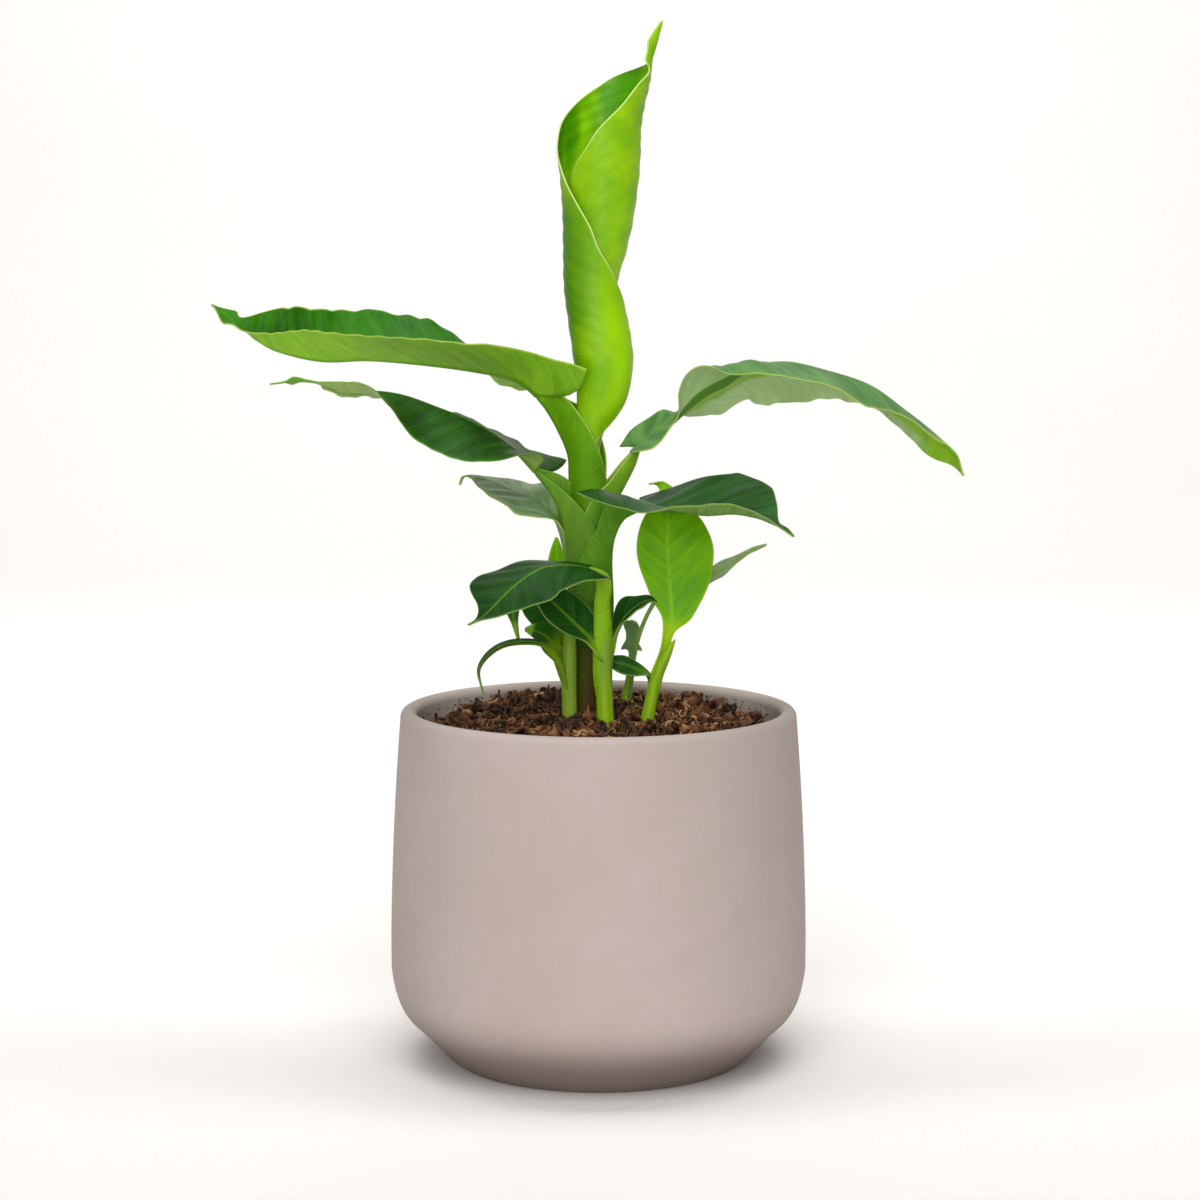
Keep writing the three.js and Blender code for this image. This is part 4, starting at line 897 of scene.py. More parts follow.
def leaf_finish(name, upper, bright, under, under_dark, stalk, stalk_low, margin="b9cf62",
                gloss=0.4, sheen=0.2, rim=0.6, painted_rib_shade=0.0, veined=1.0, painted_glow=0.45, tip=None):
    """Living leaf skin: a glossy upper face in two greens, banded along the side veins and
    brightened to the margin by painted glow, a paler waxy lower face, a yellow green stalk and
    midrib that darken to the stem, and a thin pale margin. Below, painted shade darkens the
    right side of the midrib, whose colour is widened and shifted to its left. The numbers are
    strengths from 0 to 1, and a tip is a colour for the leaf's end."""
    material, tree, shader = new_material(name, Specular_IOR_Level=sheen, Subsurface_Weight=0.06,
                                          Subsurface_Scale=0.002)
    vein, sideways, inward = map_channels(tree, "veins")
    face, blade, along = map_channels(tree, "parts")
    cloud = between(tree, grain(tree, 55, 4), 0.38, 0.66)
    across = sum_of(tree, sideways, None, "ABSOLUTE")
    band_place = add_node(tree, "CombineXYZ", {}, sum_of(tree, vein, BAND_PACE[0], "MULTIPLY"),
                          sum_of(tree, across, BAND_PACE[1], "MULTIPLY"), face).outputs[0]
    bands = add_node(tree, "TexNoise", {}, band_place, None, 1.0, 4.0, 0.6).outputs[0]
    bands = between(tree, bands, 0.32, 0.7)
    both = sum_of(tree, sum_of(tree, cloud, 0.45, "MULTIPLY"),
                  sum_of(tree, bands, 0.55, "MULTIPLY"))
    # Painted glow: the upper face brightens towards the margin.
    painted_rim_glow = between(tree, inward, 0.0, PAINTED_GLOW_WIDTH, painted_glow, 0.0)
    upper_mix = sum_of(tree, both, painted_rim_glow, "MAXIMUM")
    upper_tone = blend_colours(tree, upper_mix, linear(upper), linear(bright))
    under_tone = blend_colours(tree, both, linear(under_dark), linear(under))
    tone = blend_colours(tree, face, under_tone, upper_tone)

    wander = sum_of(tree, grain(tree, 260, 2), 0.5, "MULTIPLY")
    phase = sum_of(tree, vein, wander)
    fine = ridges(tree, phase, FINE_VEIN_PACE, 0.2)
    main = ridges(tree, phase, 2 * math.pi / VEIN_SPACING, 0.93)
    tone = blend_colours(tree, sum_of(tree, fine, 0.03 * veined, "MULTIPLY"), tone,
                         linear(under))
    tone = blend_colours(tree, sum_of(tree, main, 0.05 * veined, "MULTIPLY"), tone,
                         linear(under))
    if tip:
        tone = blend_colours(tree, between(tree, along, *TIP_SHARE), tone, linear(tip))

    rib_width = sum_of(tree, sum_of(tree, along, -RIB_TAPER, "MULTIPLY"), RIB_FOOT_WIDTH)
    wider = between(tree, face, 0.0, 1.0, RIB_BELOW + RIB_SHADE_WIDENS * painted_rib_shade, 1.0)
    rib_width = sum_of(tree, rib_width, wider, "MULTIPLY")
    shift = between(tree, face, 0.0, 1.0, RIB_SHADE_SHIFTS * painted_rib_shade, 0.0)
    from_rib = sum_of(tree, sum_of(tree, sideways, shift), None, "ABSOLUTE")
    rib = between(tree, sum_of(tree, from_rib, rib_width, "DIVIDE"), 0.5, 1.25, 1.0, 0.0)
    rib = sum_of(tree, rib, between(tree, face, 0.0, 1.0, 0.9, 0.4), "MULTIPLY")
    stalk_tone = blend_colours(tree, between(tree, along, 0.02, 0.26), linear(stalk_low),
                               linear(stalk))
    stalk_tone = blend_colours(tree, sum_of(tree, cloud, 0.5, "MULTIPLY"), stalk_tone,
                               linear(stalk_low))
    streak = between(tree, grain(tree, 700, 4, (1, 1, 0.05)), 0.35, 0.7)
    stalk_tone = blend_colours(tree, sum_of(tree, streak, 0.22, "MULTIPLY"), stalk_tone,
                               linear(bright))
    tone = blend_colours(tree, rib, tone, stalk_tone)
    # Painted shade: a dark strip on the right of the midrib on the lower face.
    if painted_rib_shade:
        rib_shade_mask = sum_of(tree, sum_of(tree, sideways, -RIB_SHADE_PLACE), None, "ABSOLUTE")
        rib_shade_mask = between(tree, rib_shade_mask, *RIB_SHADE_WIDTH, painted_rib_shade, 0.0)
        rib_shade_mask = sum_of(tree, rib_shade_mask, between(tree, face, 0.0, 1.0, 1.0, 0.0), "MULTIPLY")
        rib_shade_mask = sum_of(tree, rib_shade_mask, between(tree, along, *RIB_SHADE_END, 1.0, 0.0), "MULTIPLY")
        tone = blend_colours(tree, rib_shade_mask, tone, linear(RIB_PAINTED_SHADE))
    tone = blend_colours(tree, blade, stalk_tone, tone)
    edge = between(tree, inward, *RIM_WIDTH, rim, 0.0)
    tone = blend_colours(tree, edge, tone, linear(margin))
    tree.links.new(tone, shader.inputs["Base Color"])
    roughness = between(tree, face, 0.0, 1.0, 0.55, gloss)
    roughness = sum_of(tree, roughness, sum_of(tree, cloud, 0.1, "MULTIPLY"))
    tree.links.new(roughness, shader.inputs["Roughness"])
    height = sum_of(tree, sum_of(tree, fine, 0.16, "MULTIPLY"), sum_of(tree, main, bands))
    relief(tree, shader, height, 0.0003, 0.45)
    return material


upper_left_skin = leaf_finish("skin_upper_left", "175400", "348400", "90c42c", "70aa1a",
                              "66a00a", "508206", sheen=0.12)
middle_left_skin = leaf_finish("skin_middle_left", "12300c", "1f5c04", "8caa58", "769448",
                               "6a9a20", "4a7210", "7ab43c", rim=0.4, painted_glow=0.85, tip="5ca008")
# Painted reflection: the pale greyish upper greens stand in for the soft light in the gloss.
lower_left_skin = leaf_finish("skin_lower_left", "54794a", "9cc088", "84a450", "6f9040",
                              "6a9a20", "4a7210", gloss=0.36, sheen=0.3)
dark_skin = leaf_finish("skin_dark", "0e360a", "1f5c12", "7ea050", "66903a", "5a920a", "386206",
                        "9fbf5c", rim=0.4, veined=0.4)
# Painted reflection: the pale greyish upper greens stand in for the soft light in the gloss.
upper_right_skin = leaf_finish("skin_upper_right", "34682d", "669a4c", "a2c282", "8cae6c",
                               "84b208", "548a0a", painted_rib_shade=0.95, tip="74b00c")

add_leaf("blade_upper_left", "leaf_upper_left", [
    (-9.2, 7.4, 188, 19, 19, 15, 15, 165, 165, 0, 0),
    (-9.3, 7.2, 200, 18.5, 18.5, 15, 15, 160, 160, 0, 0),
    (-9.5, 7, 210.4, 15.5, 15.5, 15, 15, 135, 135, 0, 0),
    (-10, 7, 218.5, 14, 14.5, 15, 15, 95, 95, 0, 0), (-14, 8, 228, 11.5, 13, 30, 30, 60, 60, 0, 0),
    (-18.5, 9, 235.5, 7.5, 6.5, 50, 45, 40, 40, 0, 0),
    (-22, 10, 239.5, 27, 10, 50, 40, 5, 20, 0, -0.6),
    (-26, 11, 243, 18, 13, 50, 5, 5, 0, 0, -0.3),
    (-30.5, 12, 245.5, 18, 16, 38, -8, 5, -15, 0, -0.1),
    (-39, 14, 247.5, 23.5, 21, 27, -8, 0, -10, 0, 0),
    (-57, 17, 250, 25, 25.5, 23, 22, 0, 10, 0, 0.1),
    (-82.5, 21, 252, 23, 23.5, 24, 41, 0, 10, 0, 0.1),
    (-100.5, 24, 251.5, 19, 20, 36, 58, 0, 10, 0, 0.1),
    (-117, 27, 255, 11, 16.5, 36, 76, 0, 10, 0, 0.1),
    (-124.5, 28, 259, 6, 13.6, 30, 82, 0, 0, 0, 0),
    (-127.3, 28.5, 261.3, 4.2, 10.6, 6, 78, 0, 0, 0, 0),
    (-130.5, 29, 264, 2.5, 4.4, -20, 60, 0, 0, 0, 0),
    (-132.3, 29.5, 265.3, 2.4, 2.3, -34, 52, 0, 0, 0, 0),
    (-134.5, 30, 267, 4, 4, -45, 45, 0, 0, 0, 0),
    (-141, 31, 271.5, 0.4, 0.4, 0, 0, 0, 0, 0, 0),
], upper_left_skin, "leaf_dark", heading=172, lobed=6, stalk=2.1, quilt=0.45,
         waves=[(0.5, 17, 0.4), (0.3, 7.3, 2.0)], calm=(0.1, 1), scallops=[(0.04, 10.5, 0.3)],
         scalloped=1, lobe=(5.5, 0), lead=0.55)

add_leaf("blade_middle_left", "leaf_middle_left", [
    (-9.8, 5.5, 168, 15, 15, 10, 10, 125, 125, 0, 0),
    (-10, 4.5, 179, 14, 13, 10, 10, 112, 105, 0, 0),
    (-10.8, 3.2, 188.5, 13, 12, 15, 15, 95, 90, 0, 0),
    (-12.5, 2.4, 197.5, 7.5, 9, 30, 30, 60, 60, 0, 0),
    (-16.5, 2, 205.5, 3.2, 7.5, 40, 55, 40, 40, 0, 0),
    (-22.5, 1, 213, 5.5, 20, 55, 36, 0, 0, 0, -0.55),
    (-29.5, -1, 220.5, 14, 20, -12, 12, -10, 0, 0, -0.3),
    (-43.5, -4, 230, 22, 22, -36, 2, 0, 0, 0, 0),
    (-59.5, -8, 237, 21.3, 21, -40, -4, 0, 0, 0, 0),
    (-69, -11, 240.5, 20.6, 17, -30, -6, 0, 0, 0, -0.1),
    (-78, -14, 242, 20, 12, -9, -12, 0, 0, 0, 0),
    (-83, -15, 241.5, 13.4, 10, 14, -9, 0, 0, 0, 0.1),
    (-89.5, -16, 241.5, 10.5, 9, 26, -6, 0, 0, 0, 0.1),
    (-94.4, -17, 243.6, 7.5, 6.4, 22, -11, 0, 0, 0, 0.1),
    (-99, -18, 245.5, 1.5, 1.5, 10, 10, 0, 0, 0, 0), (-107, -19, 246, 3.4, 3, 25, -25, 0, 0, 0, 0),
    (-110.5, -20, 245.5, 0.6, 0.6, 0, 0, 0, 0, 0, 0),
    (-114.5, -21, 245, 0.3, 0.3, 0, 0, 0, 0, 0, 0),
], middle_left_skin, "leaf_dark", heading=190, lobed=5, stalk=2, quilt=0.3,
         waves=[(0.7, 13, 1.0), (0.4, 6.1, 0.0)], calm=(0.12, 0.7), left_lean=-0.7, lobe=(0, 2.5),
         lead=0.8)

add_leaf("blade_lower_left", "leaf_lower_left", [
    (-9.4, 6.2, 168, 5, 5, 30, 30, 45, 45, 0, 0), (-11, 7, 180, 4, 4, 30, 30, 55, 55, 0, 0),
    (-14.5, 9, 193.5, 6, 6, 15, 30, 20, 30, 0, 0), (-18, 10, 197.5, 10, 12, -5, 30, 0, 0, 0, 0),
    (-23, 12, 201.5, 15, 17, -12, 18, 0, 0, 0, 0), (-31.5, 15, 205, 14, 16, -7, 3, 0, 0, 0, 0),
    (-39.5, 18, 208, 9, 10, -10, 2, 0, 0, 0, 0), (-45, 20, 209.5, 2.5, 3, -14, 0, 0, 0, 0, 0),
    (-49, 21, 209.5, 1, 1, 0, 0, 0, 0, 0, 0), (-50.5, 22, 206.5, 0.4, 0.4, 0, 0, 0, 0, 0, 0),
], lower_left_skin, "leaf_dark", heading=155, quilt=0.2, waves=[(0.35, 13, 0.5)], lead=0.9)

add_leaf("blade_upper_right", "leaf_upper_right", [
    (0.5, 6.4, 188, 13, 13, 15, 15, 110, 110, 0, 0),
    (2.8, 6, 199.5, 8.5, 8.5, 15, 15, 95, 95, 0, 0),
    (7, 7, 206.5, 5.5, 5.5, 25, 25, 66, 66, 0, 0), (12, 8, 215, 3.5, 3.5, 40, 40, 50, 50, 0, 0),
    (15, 8, 221.5, 6.8, 5.5, 35, 38, 10, -40, 0, -1),
    (20.5, 9, 226.5, 10, 11, 22, 0, 0, -20, 0, -0.4),
    (26.5, 9, 231, 8, 6, 25, 5, 0, -10, 0, 0), (31.5, 10, 235.5, 12, 10.4, -28, 42, 0, 0, 0, 0),
    (38, 11, 240.5, 18, 18, -38, 58, 0, -35, 0, 0),
    (45.5, 12, 244, 20.6, 21, -34, 72, 0, -110, 0, 0),
    (53.5, 13, 249, 23.2, 19.4, -38, 46, 0, -96, 0, 0),
    (67, 15, 251, 24.8, 19, -40, -15, 0, 0, 0, 0),
    (81.5, 17, 248, 20, 18.2, -36, -17, 0, 0, 0, 0),
    (98, 20, 242.5, 15, 16.8, -26, -29, 0, 0, 0, 0),
    (111, 22, 233.5, 10, 8, -26, -20, 0, 0, 0, 0), (122.5, 23, 224.5, 9.8, 6, -40, -18, 0, 0, 0, 0),
    (129.5, 24, 217.5, 7, 2.5, -40, 0, 0, 0, 0, 0), (133, 24, 209.5, 0.4, 0.4, 0, 0, 0, 0, 0, 0),
], upper_right_skin, "leaf_dark", heading=12, lobed=4, stalk=3.2, quilt=0.3,
         waves=[(0.5, 19, 0.2), (0.25, 8.3, 1.4)], calm=(1, 0.3), lobe=(0, 1.5), lead=0.8)

add_leaf("blade_middle_right", "leaf_middle_right", [
    (3.8, 2.6, 149, 16, 20, 10, 10, 122, 140, 0, 0), (4.2, 2, 166, 16, 20, 10, 10, 120, 138, 0, 0),
    (3.8, 0.6, 181.5, 10, 13.5, 10, 10, 75, 95, 0, 0),
    (5, -1.4, 189.5, 8, 6.5, 20, 20, 65, 52, 0, 0),
    (8.5, -4, 196.5, 5, 7, 35, 35, 50, 50, 0, 0), (14, -8, 200, 10, 21, 20, 58, 0, -70, 0, -0.7),
    (20, -13, 200.5, 17, 22, 25, 40, 0, -65, 0, -0.2),
    (28.5, -20, 200.5, 21, 20, 32, 14, 0, -22, 0, 0),
    (37.5, -27, 200, 23.2, 15, 34, 14, 0, 0, 0, 0), (47, -34, 201, 22, 11, 24, 20, 0, 0, 0, 0),
    (55, -40, 200, 11, 7, 24, 28, 0, 0, 0, 0), (60.5, -44, 198, 2.2, 3, 20, 25, 0, 0, 0, 0),
    (64, -47, 196.5, 1.2, 1.6, 10, 0, 0, 0, 0, 0), (66.5, -50, 194.5, 0.4, 0.4, 0, 0, 0, 0, 0, 0),
], dark_skin, "leaf_dark", heading=-38, lobed=5, stalk=2, quilt=0.25, waves=[(0.3, 17, 0.8)],
         lead=0.8)

# Leaves of the front shoot: one broad blade that spreads to the left, and two small ones,
# the same thin skin on short grooved stalks.
front_skin = leaf_finish("skin_front", "0a2e06", "1a520e", "7ea050", "66903a", "7cac14",
                         "7aa410", "9fbf5c", sheen=0.13, rim=0.4, veined=0.4)

add_leaf("blade_front_left", "leaf_front_left", [
    (1.5, -19, 128, 5.5, 5.5, 15, 15, 160, 160, 0, 0),
    (-0.7, -19.7, 141, 8.2, 8.2, 15, 15, 160, 160, 0, 0),
    (-0.9, -19.5, 149, 8.4, 8.4, 15, 15, 155, 155, 0, 0),
    (-0.8, -19.3, 158, 7.2, 7.2, 18, 18, 130, 130, 0, 0),
    (-0.6, -19, 168, 5.2, 5.2, 25, 25, 100, 100, 0, 0),
    (-0.2, -18.6, 176, 4.3, 4.3, 30, 30, 70, 70, 0, 0),
    (-3.5, -19, 180, 8.5, 8, -10, 10, 0, 0, 0, -0.6),
    (-10, -22, 181.5, 10.2, 12, -28, 2, 0, 0, 0, -0.2),
    (-19.5, -27, 181, 12.8, 16, -34, 4, 0, 0, 0, 0),
    (-27, -32, 177, 14.8, 18, -30, 11, 0, 0, 0, 0),
    (-33.5, -37, 171.5, 12.5, 16, -20, 24, 0, 0, 0, 0),
    (-38, -40, 167, 6, 6.5, -10, 22, 0, 0, 0, 0), (-41.5, -41, 164.5, 1.5, 2, 0, 10, 0, 0, 0, 0),
    (-45, -42, 163, 0.4, 0.4, 0, 0, 0, 0, 0, 0),
], front_skin, "leaf_dark", heading=205, lobed=6, quilt=0.2, waves=[(0.25, 14, 0.3)], lead=0.8)

add_leaf("blade_front_low", "leaf_front_low", [
    (1.5, -18, 137, 2.6, 2.6, 30, 30, 80, 80, -30, 0),
    (1, -19, 146, 2.6, 2.6, 30, 30, 80, 80, -40, 0),
    (0, -20, 150.5, 2.5, 3.2, 20, 20, 20, 20, -60, 0),
    (-3.5, -21, 156, 2.4, 6.2, 5, 5, 0, 0, -70, 0),
    (-9, -22, 161.5, 5.6, 8.2, 5, 5, 0, 0, -70, 0), (-14.5, -23, 167, 6.8, 7.5, 5, 5, 0, 0, -70, 0),
    (-19.5, -24, 171.5, 4.5, 4.5, 5, 5, 0, 0, -70, 0),
    (-23.5, -25, 174.5, 0.5, 0.5, 0, 0, 0, 0, -70, 0),
], front_skin, "leaf_dark", heading=200, quilt=0.12, waves=[], lead=0.9)

add_leaf("blade_front_right", "leaf_front_right", [
    (2.6, -17, 135, 1.8, 1.8, 30, 30, 60, 60, 0, 0),
    (3.6, -15.4, 143, 1.8, 1.8, 30, 30, 60, 60, 0, 0),
    (5, -14.4, 150.5, 1.8, 1.8, 30, 30, 50, 50, 0, 0),
    (6.5, -13.6, 157, 2.6, 2.5, 30, 10, 10, 0, 0, 0),
    (10, -13, 162.5, 7.4, 4, 40, -5, 0, 0, 0, 0.5),
    (14.5, -13, 166.5, 4.3, 4, 35, -10, 0, 0, 0, 0.2),
    (18.4, -13.4, 168.2, 2.6, 2.4, 30, -10, 0, 0, 0, 0),
    (20.9, -13.8, 167.4, 0.4, 0.4, 0, 0, 0, 0, 0, 0),
], front_skin, "leaf_dark", heading=5, stalk=1.8, quilt=0.1, waves=[(0.3, 8, 0.3)], lead=0.9)

# Leaves of the left shoot: an arching strap, two small blades and one young upright leaf. They
# are the same thin skin, and their stalks part from the small stem one above the other.
small_skin = leaf_finish("skin_small", "164c08", "2c6c10", "6a9a30", "568420", "8fb61c",
                         "7ea418", "5f9424", rim=0.3, veined=0.5, tip="84bc38")
young_skin = leaf_finish("skin_young", "559a00", "7cbe00", "90c414", "76ac0c", "a4cc20",
                         "88b414", "a0cc24", gloss=0.42, sheen=0.12)

add_leaf("blade_left_arching", "leaf_left_arching", [
    (-11, 1.2, 130, 1.2, 1.2, 10, 10, 20, 20, 0, 0),
    (-13, -0.4, 140.5, 1.9, 1.6, 10, 10, 20, 20, 0, 0),
    (-15.8, -2.8, 146.5, 2.4, 2.4, 20, 20, 20, 20, 0, 0),
    (-20, -4.4, 151, 3, 3, 18, 18, 0, 0, 0, 0),
    (-27, -6, 152, 3.5, 3.5, 18, 18, 0, 0, 0, 0), (-34, -8, 151, 3.2, 3.2, 18, 18, 0, 0, 0, 0),
    (-39.5, -10, 147.5, 2.6, 2.6, 18, 18, 0, 0, 0, 0),
    (-42.5, -11, 142.5, 1.8, 1.8, 10, 10, 0, 0, 0, 0),
    (-41, -12, 134.5, 0.4, 0.4, 0, 0, 0, 0, 0, 0),
], small_skin, "leaf_dark", heading=190, stalk=1.6, quilt=0.0, waves=[], lead=1.2)

add_leaf("blade_left_low", "leaf_left_low", [
    (-11.5, 2.4, 134, 2, 2, 30, 30, 60, 60, 0, 0),
    (-15, 2.4, 143.4, 2.2, 2.2, 10, 10, 20, 20, -20, 0),
    (-16.2, 1.8, 148.5, 4, 3, 5, 5, 0, 0, -55, 0), (-18, 1.6, 152.5, 4.5, 5, 5, 5, 0, 0, -60, 0),
    (-22, 1.6, 155, 3, 4, 5, 5, 0, 0, -60, 0), (-26.5, 1.6, 156, 0.4, 0.4, 0, 0, 0, 0, -60, 0),
], small_skin, "leaf_dark", heading=185, stalk=1.6, quilt=0.1, waves=[], lead=0.9)

add_leaf("blade_left_middle", "leaf_left_middle", [
    (-10.8, 2.8, 129, 2, 2, 30, 30, 60, 60, 0, 0), (-11.2, 5, 138, 2, 2, 30, 30, 60, 60, 0, 0),
    (-12, 7.4, 146, 2.2, 2.2, 25, 25, 50, 50, -20, 0), (-14.8, 9, 154.5, 5, 4, 5, 5, 0, 0, -60, 0),
    (-20, 10, 161.5, 6.5, 6.5, 5, 5, 0, 0, -60, 0),
    (-25.5, 10.5, 166.5, 5.4, 5.6, 5, 5, 0, 0, -55, 0),
    (-30, 10.5, 167.3, 1.9, 2.4, 10, 10, 0, 0, -55, 0),
    (-30.9, 10, 162.3, 2.7, 2.7, 8, 8, 0, 0, -72, 0),
    (-30.3, 10, 157.6, 1.3, 1.3, 8, 8, 0, 0, -75, 0),
    (-29, 10, 151, 0.4, 0.4, 0, 0, 0, 0, -75, 0),
], small_skin, "leaf_dark", heading=170, stalk=1.6, quilt=0.1, waves=[], lead=0.9)

add_leaf("blade_left_upright", "leaf_left_upright", [
    (-10.6, 2.8, 125, 1.8, 1.8, 30, 30, 60, 60, 0, 0),
    (-12, 7, 135, 1.8, 1.8, 30, 30, 60, 60, 0, 0),
    (-13, 12, 147.5, 1.8, 1.8, 30, 30, 60, 60, 0, 0), (-14, 15, 163.5, 2, 2, 25, 25, 30, 30, 0, 0),
    (-14.8, 15.5, 172.5, 3, 3, 15, 15, 10, 10, 0, 0),
    (-15.2, 15, 178, 3.2, 3.2, 12, 12, 0, 0, 0, 0),
    (-15.2, 14, 183.5, 2, 2, 10, 10, 0, 0, 0, 0), (-15.2, 13, 188, 0.3, 0.3, 0, 0, 0, 0, 0, 0),
], young_skin, "leaf_young", heading=90, stalk=1.6, quilt=0.0, waves=[], lead=1.2)

# Leaves of the right shoot: the upright oval blade, yellow green as it is new, and a small
# leaf that is folded down towards the middle. Both grow out of the leaning stem.
add_leaf("blade_right_oval", "leaf_right_oval", [
    (20, -8, 140.5, 2.6, 2.6, 25, 25, 60, 60, 0, 0),
    (23.5, -8, 150, 2.3, 2.3, 25, 25, 60, 60, 0, 0),
    (25, -7, 156.4, 2.6, 2.6, 25, 25, 30, 30, 0, 0), (26, -6, 161.3, 3.5, 7, 10, 10, 0, 0, 0, 0),
    (25.6, -4, 170, 7.3, 13, 8, 8, 0, 0, 0, 0), (25.1, -1.5, 179.2, 10.3, 15.7, 8, 8, -5, -5, 0, 0),
    (24.7, 0.5, 186.5, 10.9, 15.9, 8, 8, -10, -10, 0, 0),
    (24.7, 3, 194.8, 8.9, 12.6, 8, 8, -15, -15, 0, 0),
    (24.7, 5, 201.2, 5, 6.5, 5, 5, -10, -10, 0, 0),
    (23.7, 6.5, 206.2, 2, 2.2, 0, 0, 0, 0, 0, 0), (21.7, 6.5, 208, 1, 1, 0, 0, 0, 0, 0, 0),
    (18.2, 5, 208, 0.3, 0.3, 0, 0, 0, 0, 0, 0),
], young_skin, "leaf_young", heading=90, stalk=2, quilt=0.18, waves=[(0.3, 16, 0.5)], lead=1.0)

add_leaf("blade_right_folded", "leaf_right_folded", [
    (17.8, -8.4, 129, 2, 2, 30, 30, 60, 60, 0, 0),
    (18.5, -8, 137.5, 1.8, 1.8, 30, 30, 60, 60, 0, 0),
    (17.5, -8.5, 141, 2.2, 1.8, 5, 10, 20, 20, -20, 0), (13.5, -9, 143, 3, 3, -10, 5, 0, 0, -45, 0),
    (8.5, -9.5, 145, 3.8, 3.4, -10, 5, 0, 0, -50, 0), (3.5, -9.5, 146, 2, 2, 0, 0, 0, 0, -50, 0),
    (0.5, -9.5, 146.5, 0.4, 0.4, 0, 0, 0, 0, -50, 0),
], dark_skin, "leaf_dark", heading=195, stalk=1.6, quilt=0.1, waves=[], lead=0.9)

# Leaves of the back shoot: a narrow pale blade that shows its lower face, and a torn stub.
# Each stands on a thin stalk that rises from the back stem.
pale_skin = leaf_finish("skin_pale", "6f9a5c", "86ac70", "98b884", "82a46c", "86b04a",
                        "6c983a", "a4c070", gloss=0.5, rim=0.4)

add_leaf("blade_back_pale", "leaf_back_pale", [
    (10.9, 24.4, 128.3, 1.2, 1.2, 10, 10, 30, 30, 0, 0),
    (13, 24, 142, 1.2, 1.2, 10, 10, 30, 30, 0, 0),
    (15.5, 23, 152.5, 1.1, 1.1, 10, 10, 30, 30, 0, 0),
    (20.5, 22, 163, 1.2, 1.2, 10, 10, 20, 20, 0, 0),
    (27, 21, 168, 3, 3, 10, 10, 0, 0, -30, 0), (35.5, 21, 170.5, 4.6, 4.6, 5, 5, 0, 0, -50, 0),
    (43, 20, 174.5, 4.6, 4.6, 5, 5, 0, 0, -50, 0), (50.5, 20, 179.5, 2.6, 2.6, 5, 5, 0, 0, -50, 0),
    (54, 19, 182, 1.2, 1.2, 0, 0, 0, 0, -50, 0), (57.5, 19, 183.5, 1.2, 1.2, 0, 0, 0, 0, -50, 0),
    (61, 18, 185, 0.3, 0.3, 0, 0, 0, 0, -50, 0),
], pale_skin, "leaf_pale", heading=20, stalk=1.6, quilt=0.1, waves=[(0.3, 11, 0.5)], lead=1.0)

add_leaf("blade_back_torn", "leaf_back_torn", [
    (11, 25, 127, 1.4, 1.4, 15, 15, 40, 40, 0, 0), (11.8, 26, 136, 1.5, 1.5, 15, 15, 40, 40, 0, 0),
    (12, 27.4, 141.5, 1, 1, 10, 10, 0, 0, 0, 0), (12.4, 28, 144.6, 1.4, 1.5, 10, 10, 0, 0, 0, 0),
    (12.5, 28.2, 147.6, 4.6, 4.8, 10, 10, 0, 0, 0, -0.6),
    (12.4, 28.2, 149, 2.5, 1.9, 8, 8, 0, 0, 0, -0.3), (12.3, 28, 151.2, 2.3, 2.4, 5, 5, 0, 0, 0, 0),
    (12.6, 27.4, 154.2, 3.8, 2.7, 0, 0, 0, 0, 0, 0), (12.9, 26.6, 156, 0.9, 1.2, 0, 0, 0, 0, 0, 0),
], pale_skin, "leaf_pale", heading=60, stalk=1.4, quilt=0.1, waves=[(0.4, 5, 0.5)], lead=0.9)

# The young leaf in the middle: one thin new blade, still rolled into a tall trumpet that winds
# outwards and opens at the top left. Its far margin lies over the front, and its tip stands up.
ROLL_AXIS_Y = 7
ROLL_PITCH = 2.2
ROLL_FULL_PITCH_RADIUS = 6
ROLL_THICKNESS = 0.55
ROLL_CELLS = 110
ROLL_STEP = 1.0
ROLL_VEIN_LEAD = (0.9, 30)
ROLL_QUILT = (0.12, 9, 6)
ROLL_VEIN_PACE = 4.4
ROLL_GREENS = ("78b400", "94c800")
ROLL_PAINTED_SHADE = "428008"
ROLL_PAINTED_GLOW = "9fd800"
ROLL_INSIDE = ("4e9c00", "a6e400")
ROLL_VEIN = "b8dc40"
ROLL_MARGIN = "d6e68a"
# Where the painted shade and the painted glow on its outside fade, across the roll and in height.
ROLL_SHADE_ACROSS = (-14 * MM, 6 * MM)
ROLL_SHADE_TOP = (322 * MM, 300 * MM)
ROLL_SHADE_FOOT = (236 * MM, 275 * MM)
ROLL_GLOW_ACROSS = (0.0, 10 * MM)
ROLL_GLOW_TOP = (288 * MM, 262 * MM)
ROLL_WANDER = 20 * MM
# Each row: its height, the axis there, the radius, and the angles of the two margins.
ROLL_ROWS = [
    (210.4, -3.4, 3.2, -120, 280), (223.7, -3, 4.3, -140, 300), (231.2, -1.4, 5.9, -160, 340),
    (237.3, 0.4, 7.4, -180, 370), (245.5, 1.3, 8.7, -200, 400), (253.4, 1.1, 9.4, -215, 420),
    (261.9, 0, 9.5, -220, 405), (277.9, -2.3, 9.2, -215, 333), (290, -0.9, 10.9, -200, 279),
    (299.9, 0.2, 12.1, -185, 255), (308, 0.7, 12.9, -170, 232), (318.9, 0.9, 14, -140, 200),
    (326.3, 0.6, 14.7, -113, 184), (333.6, 0.9, 14.5, -93, 172), (341.7, 1.9, 14.7, -63, 140),
    (349.4, 3.5, 14.9, -41, 104), (354.6, 5.1, 14.1, -18, 70), (359.2, 15, 4.6, -65, 10),
    (365.1, 18.2, 3.2, -100, -15), (371.7, 22.1, 0.7, -100, -20)]


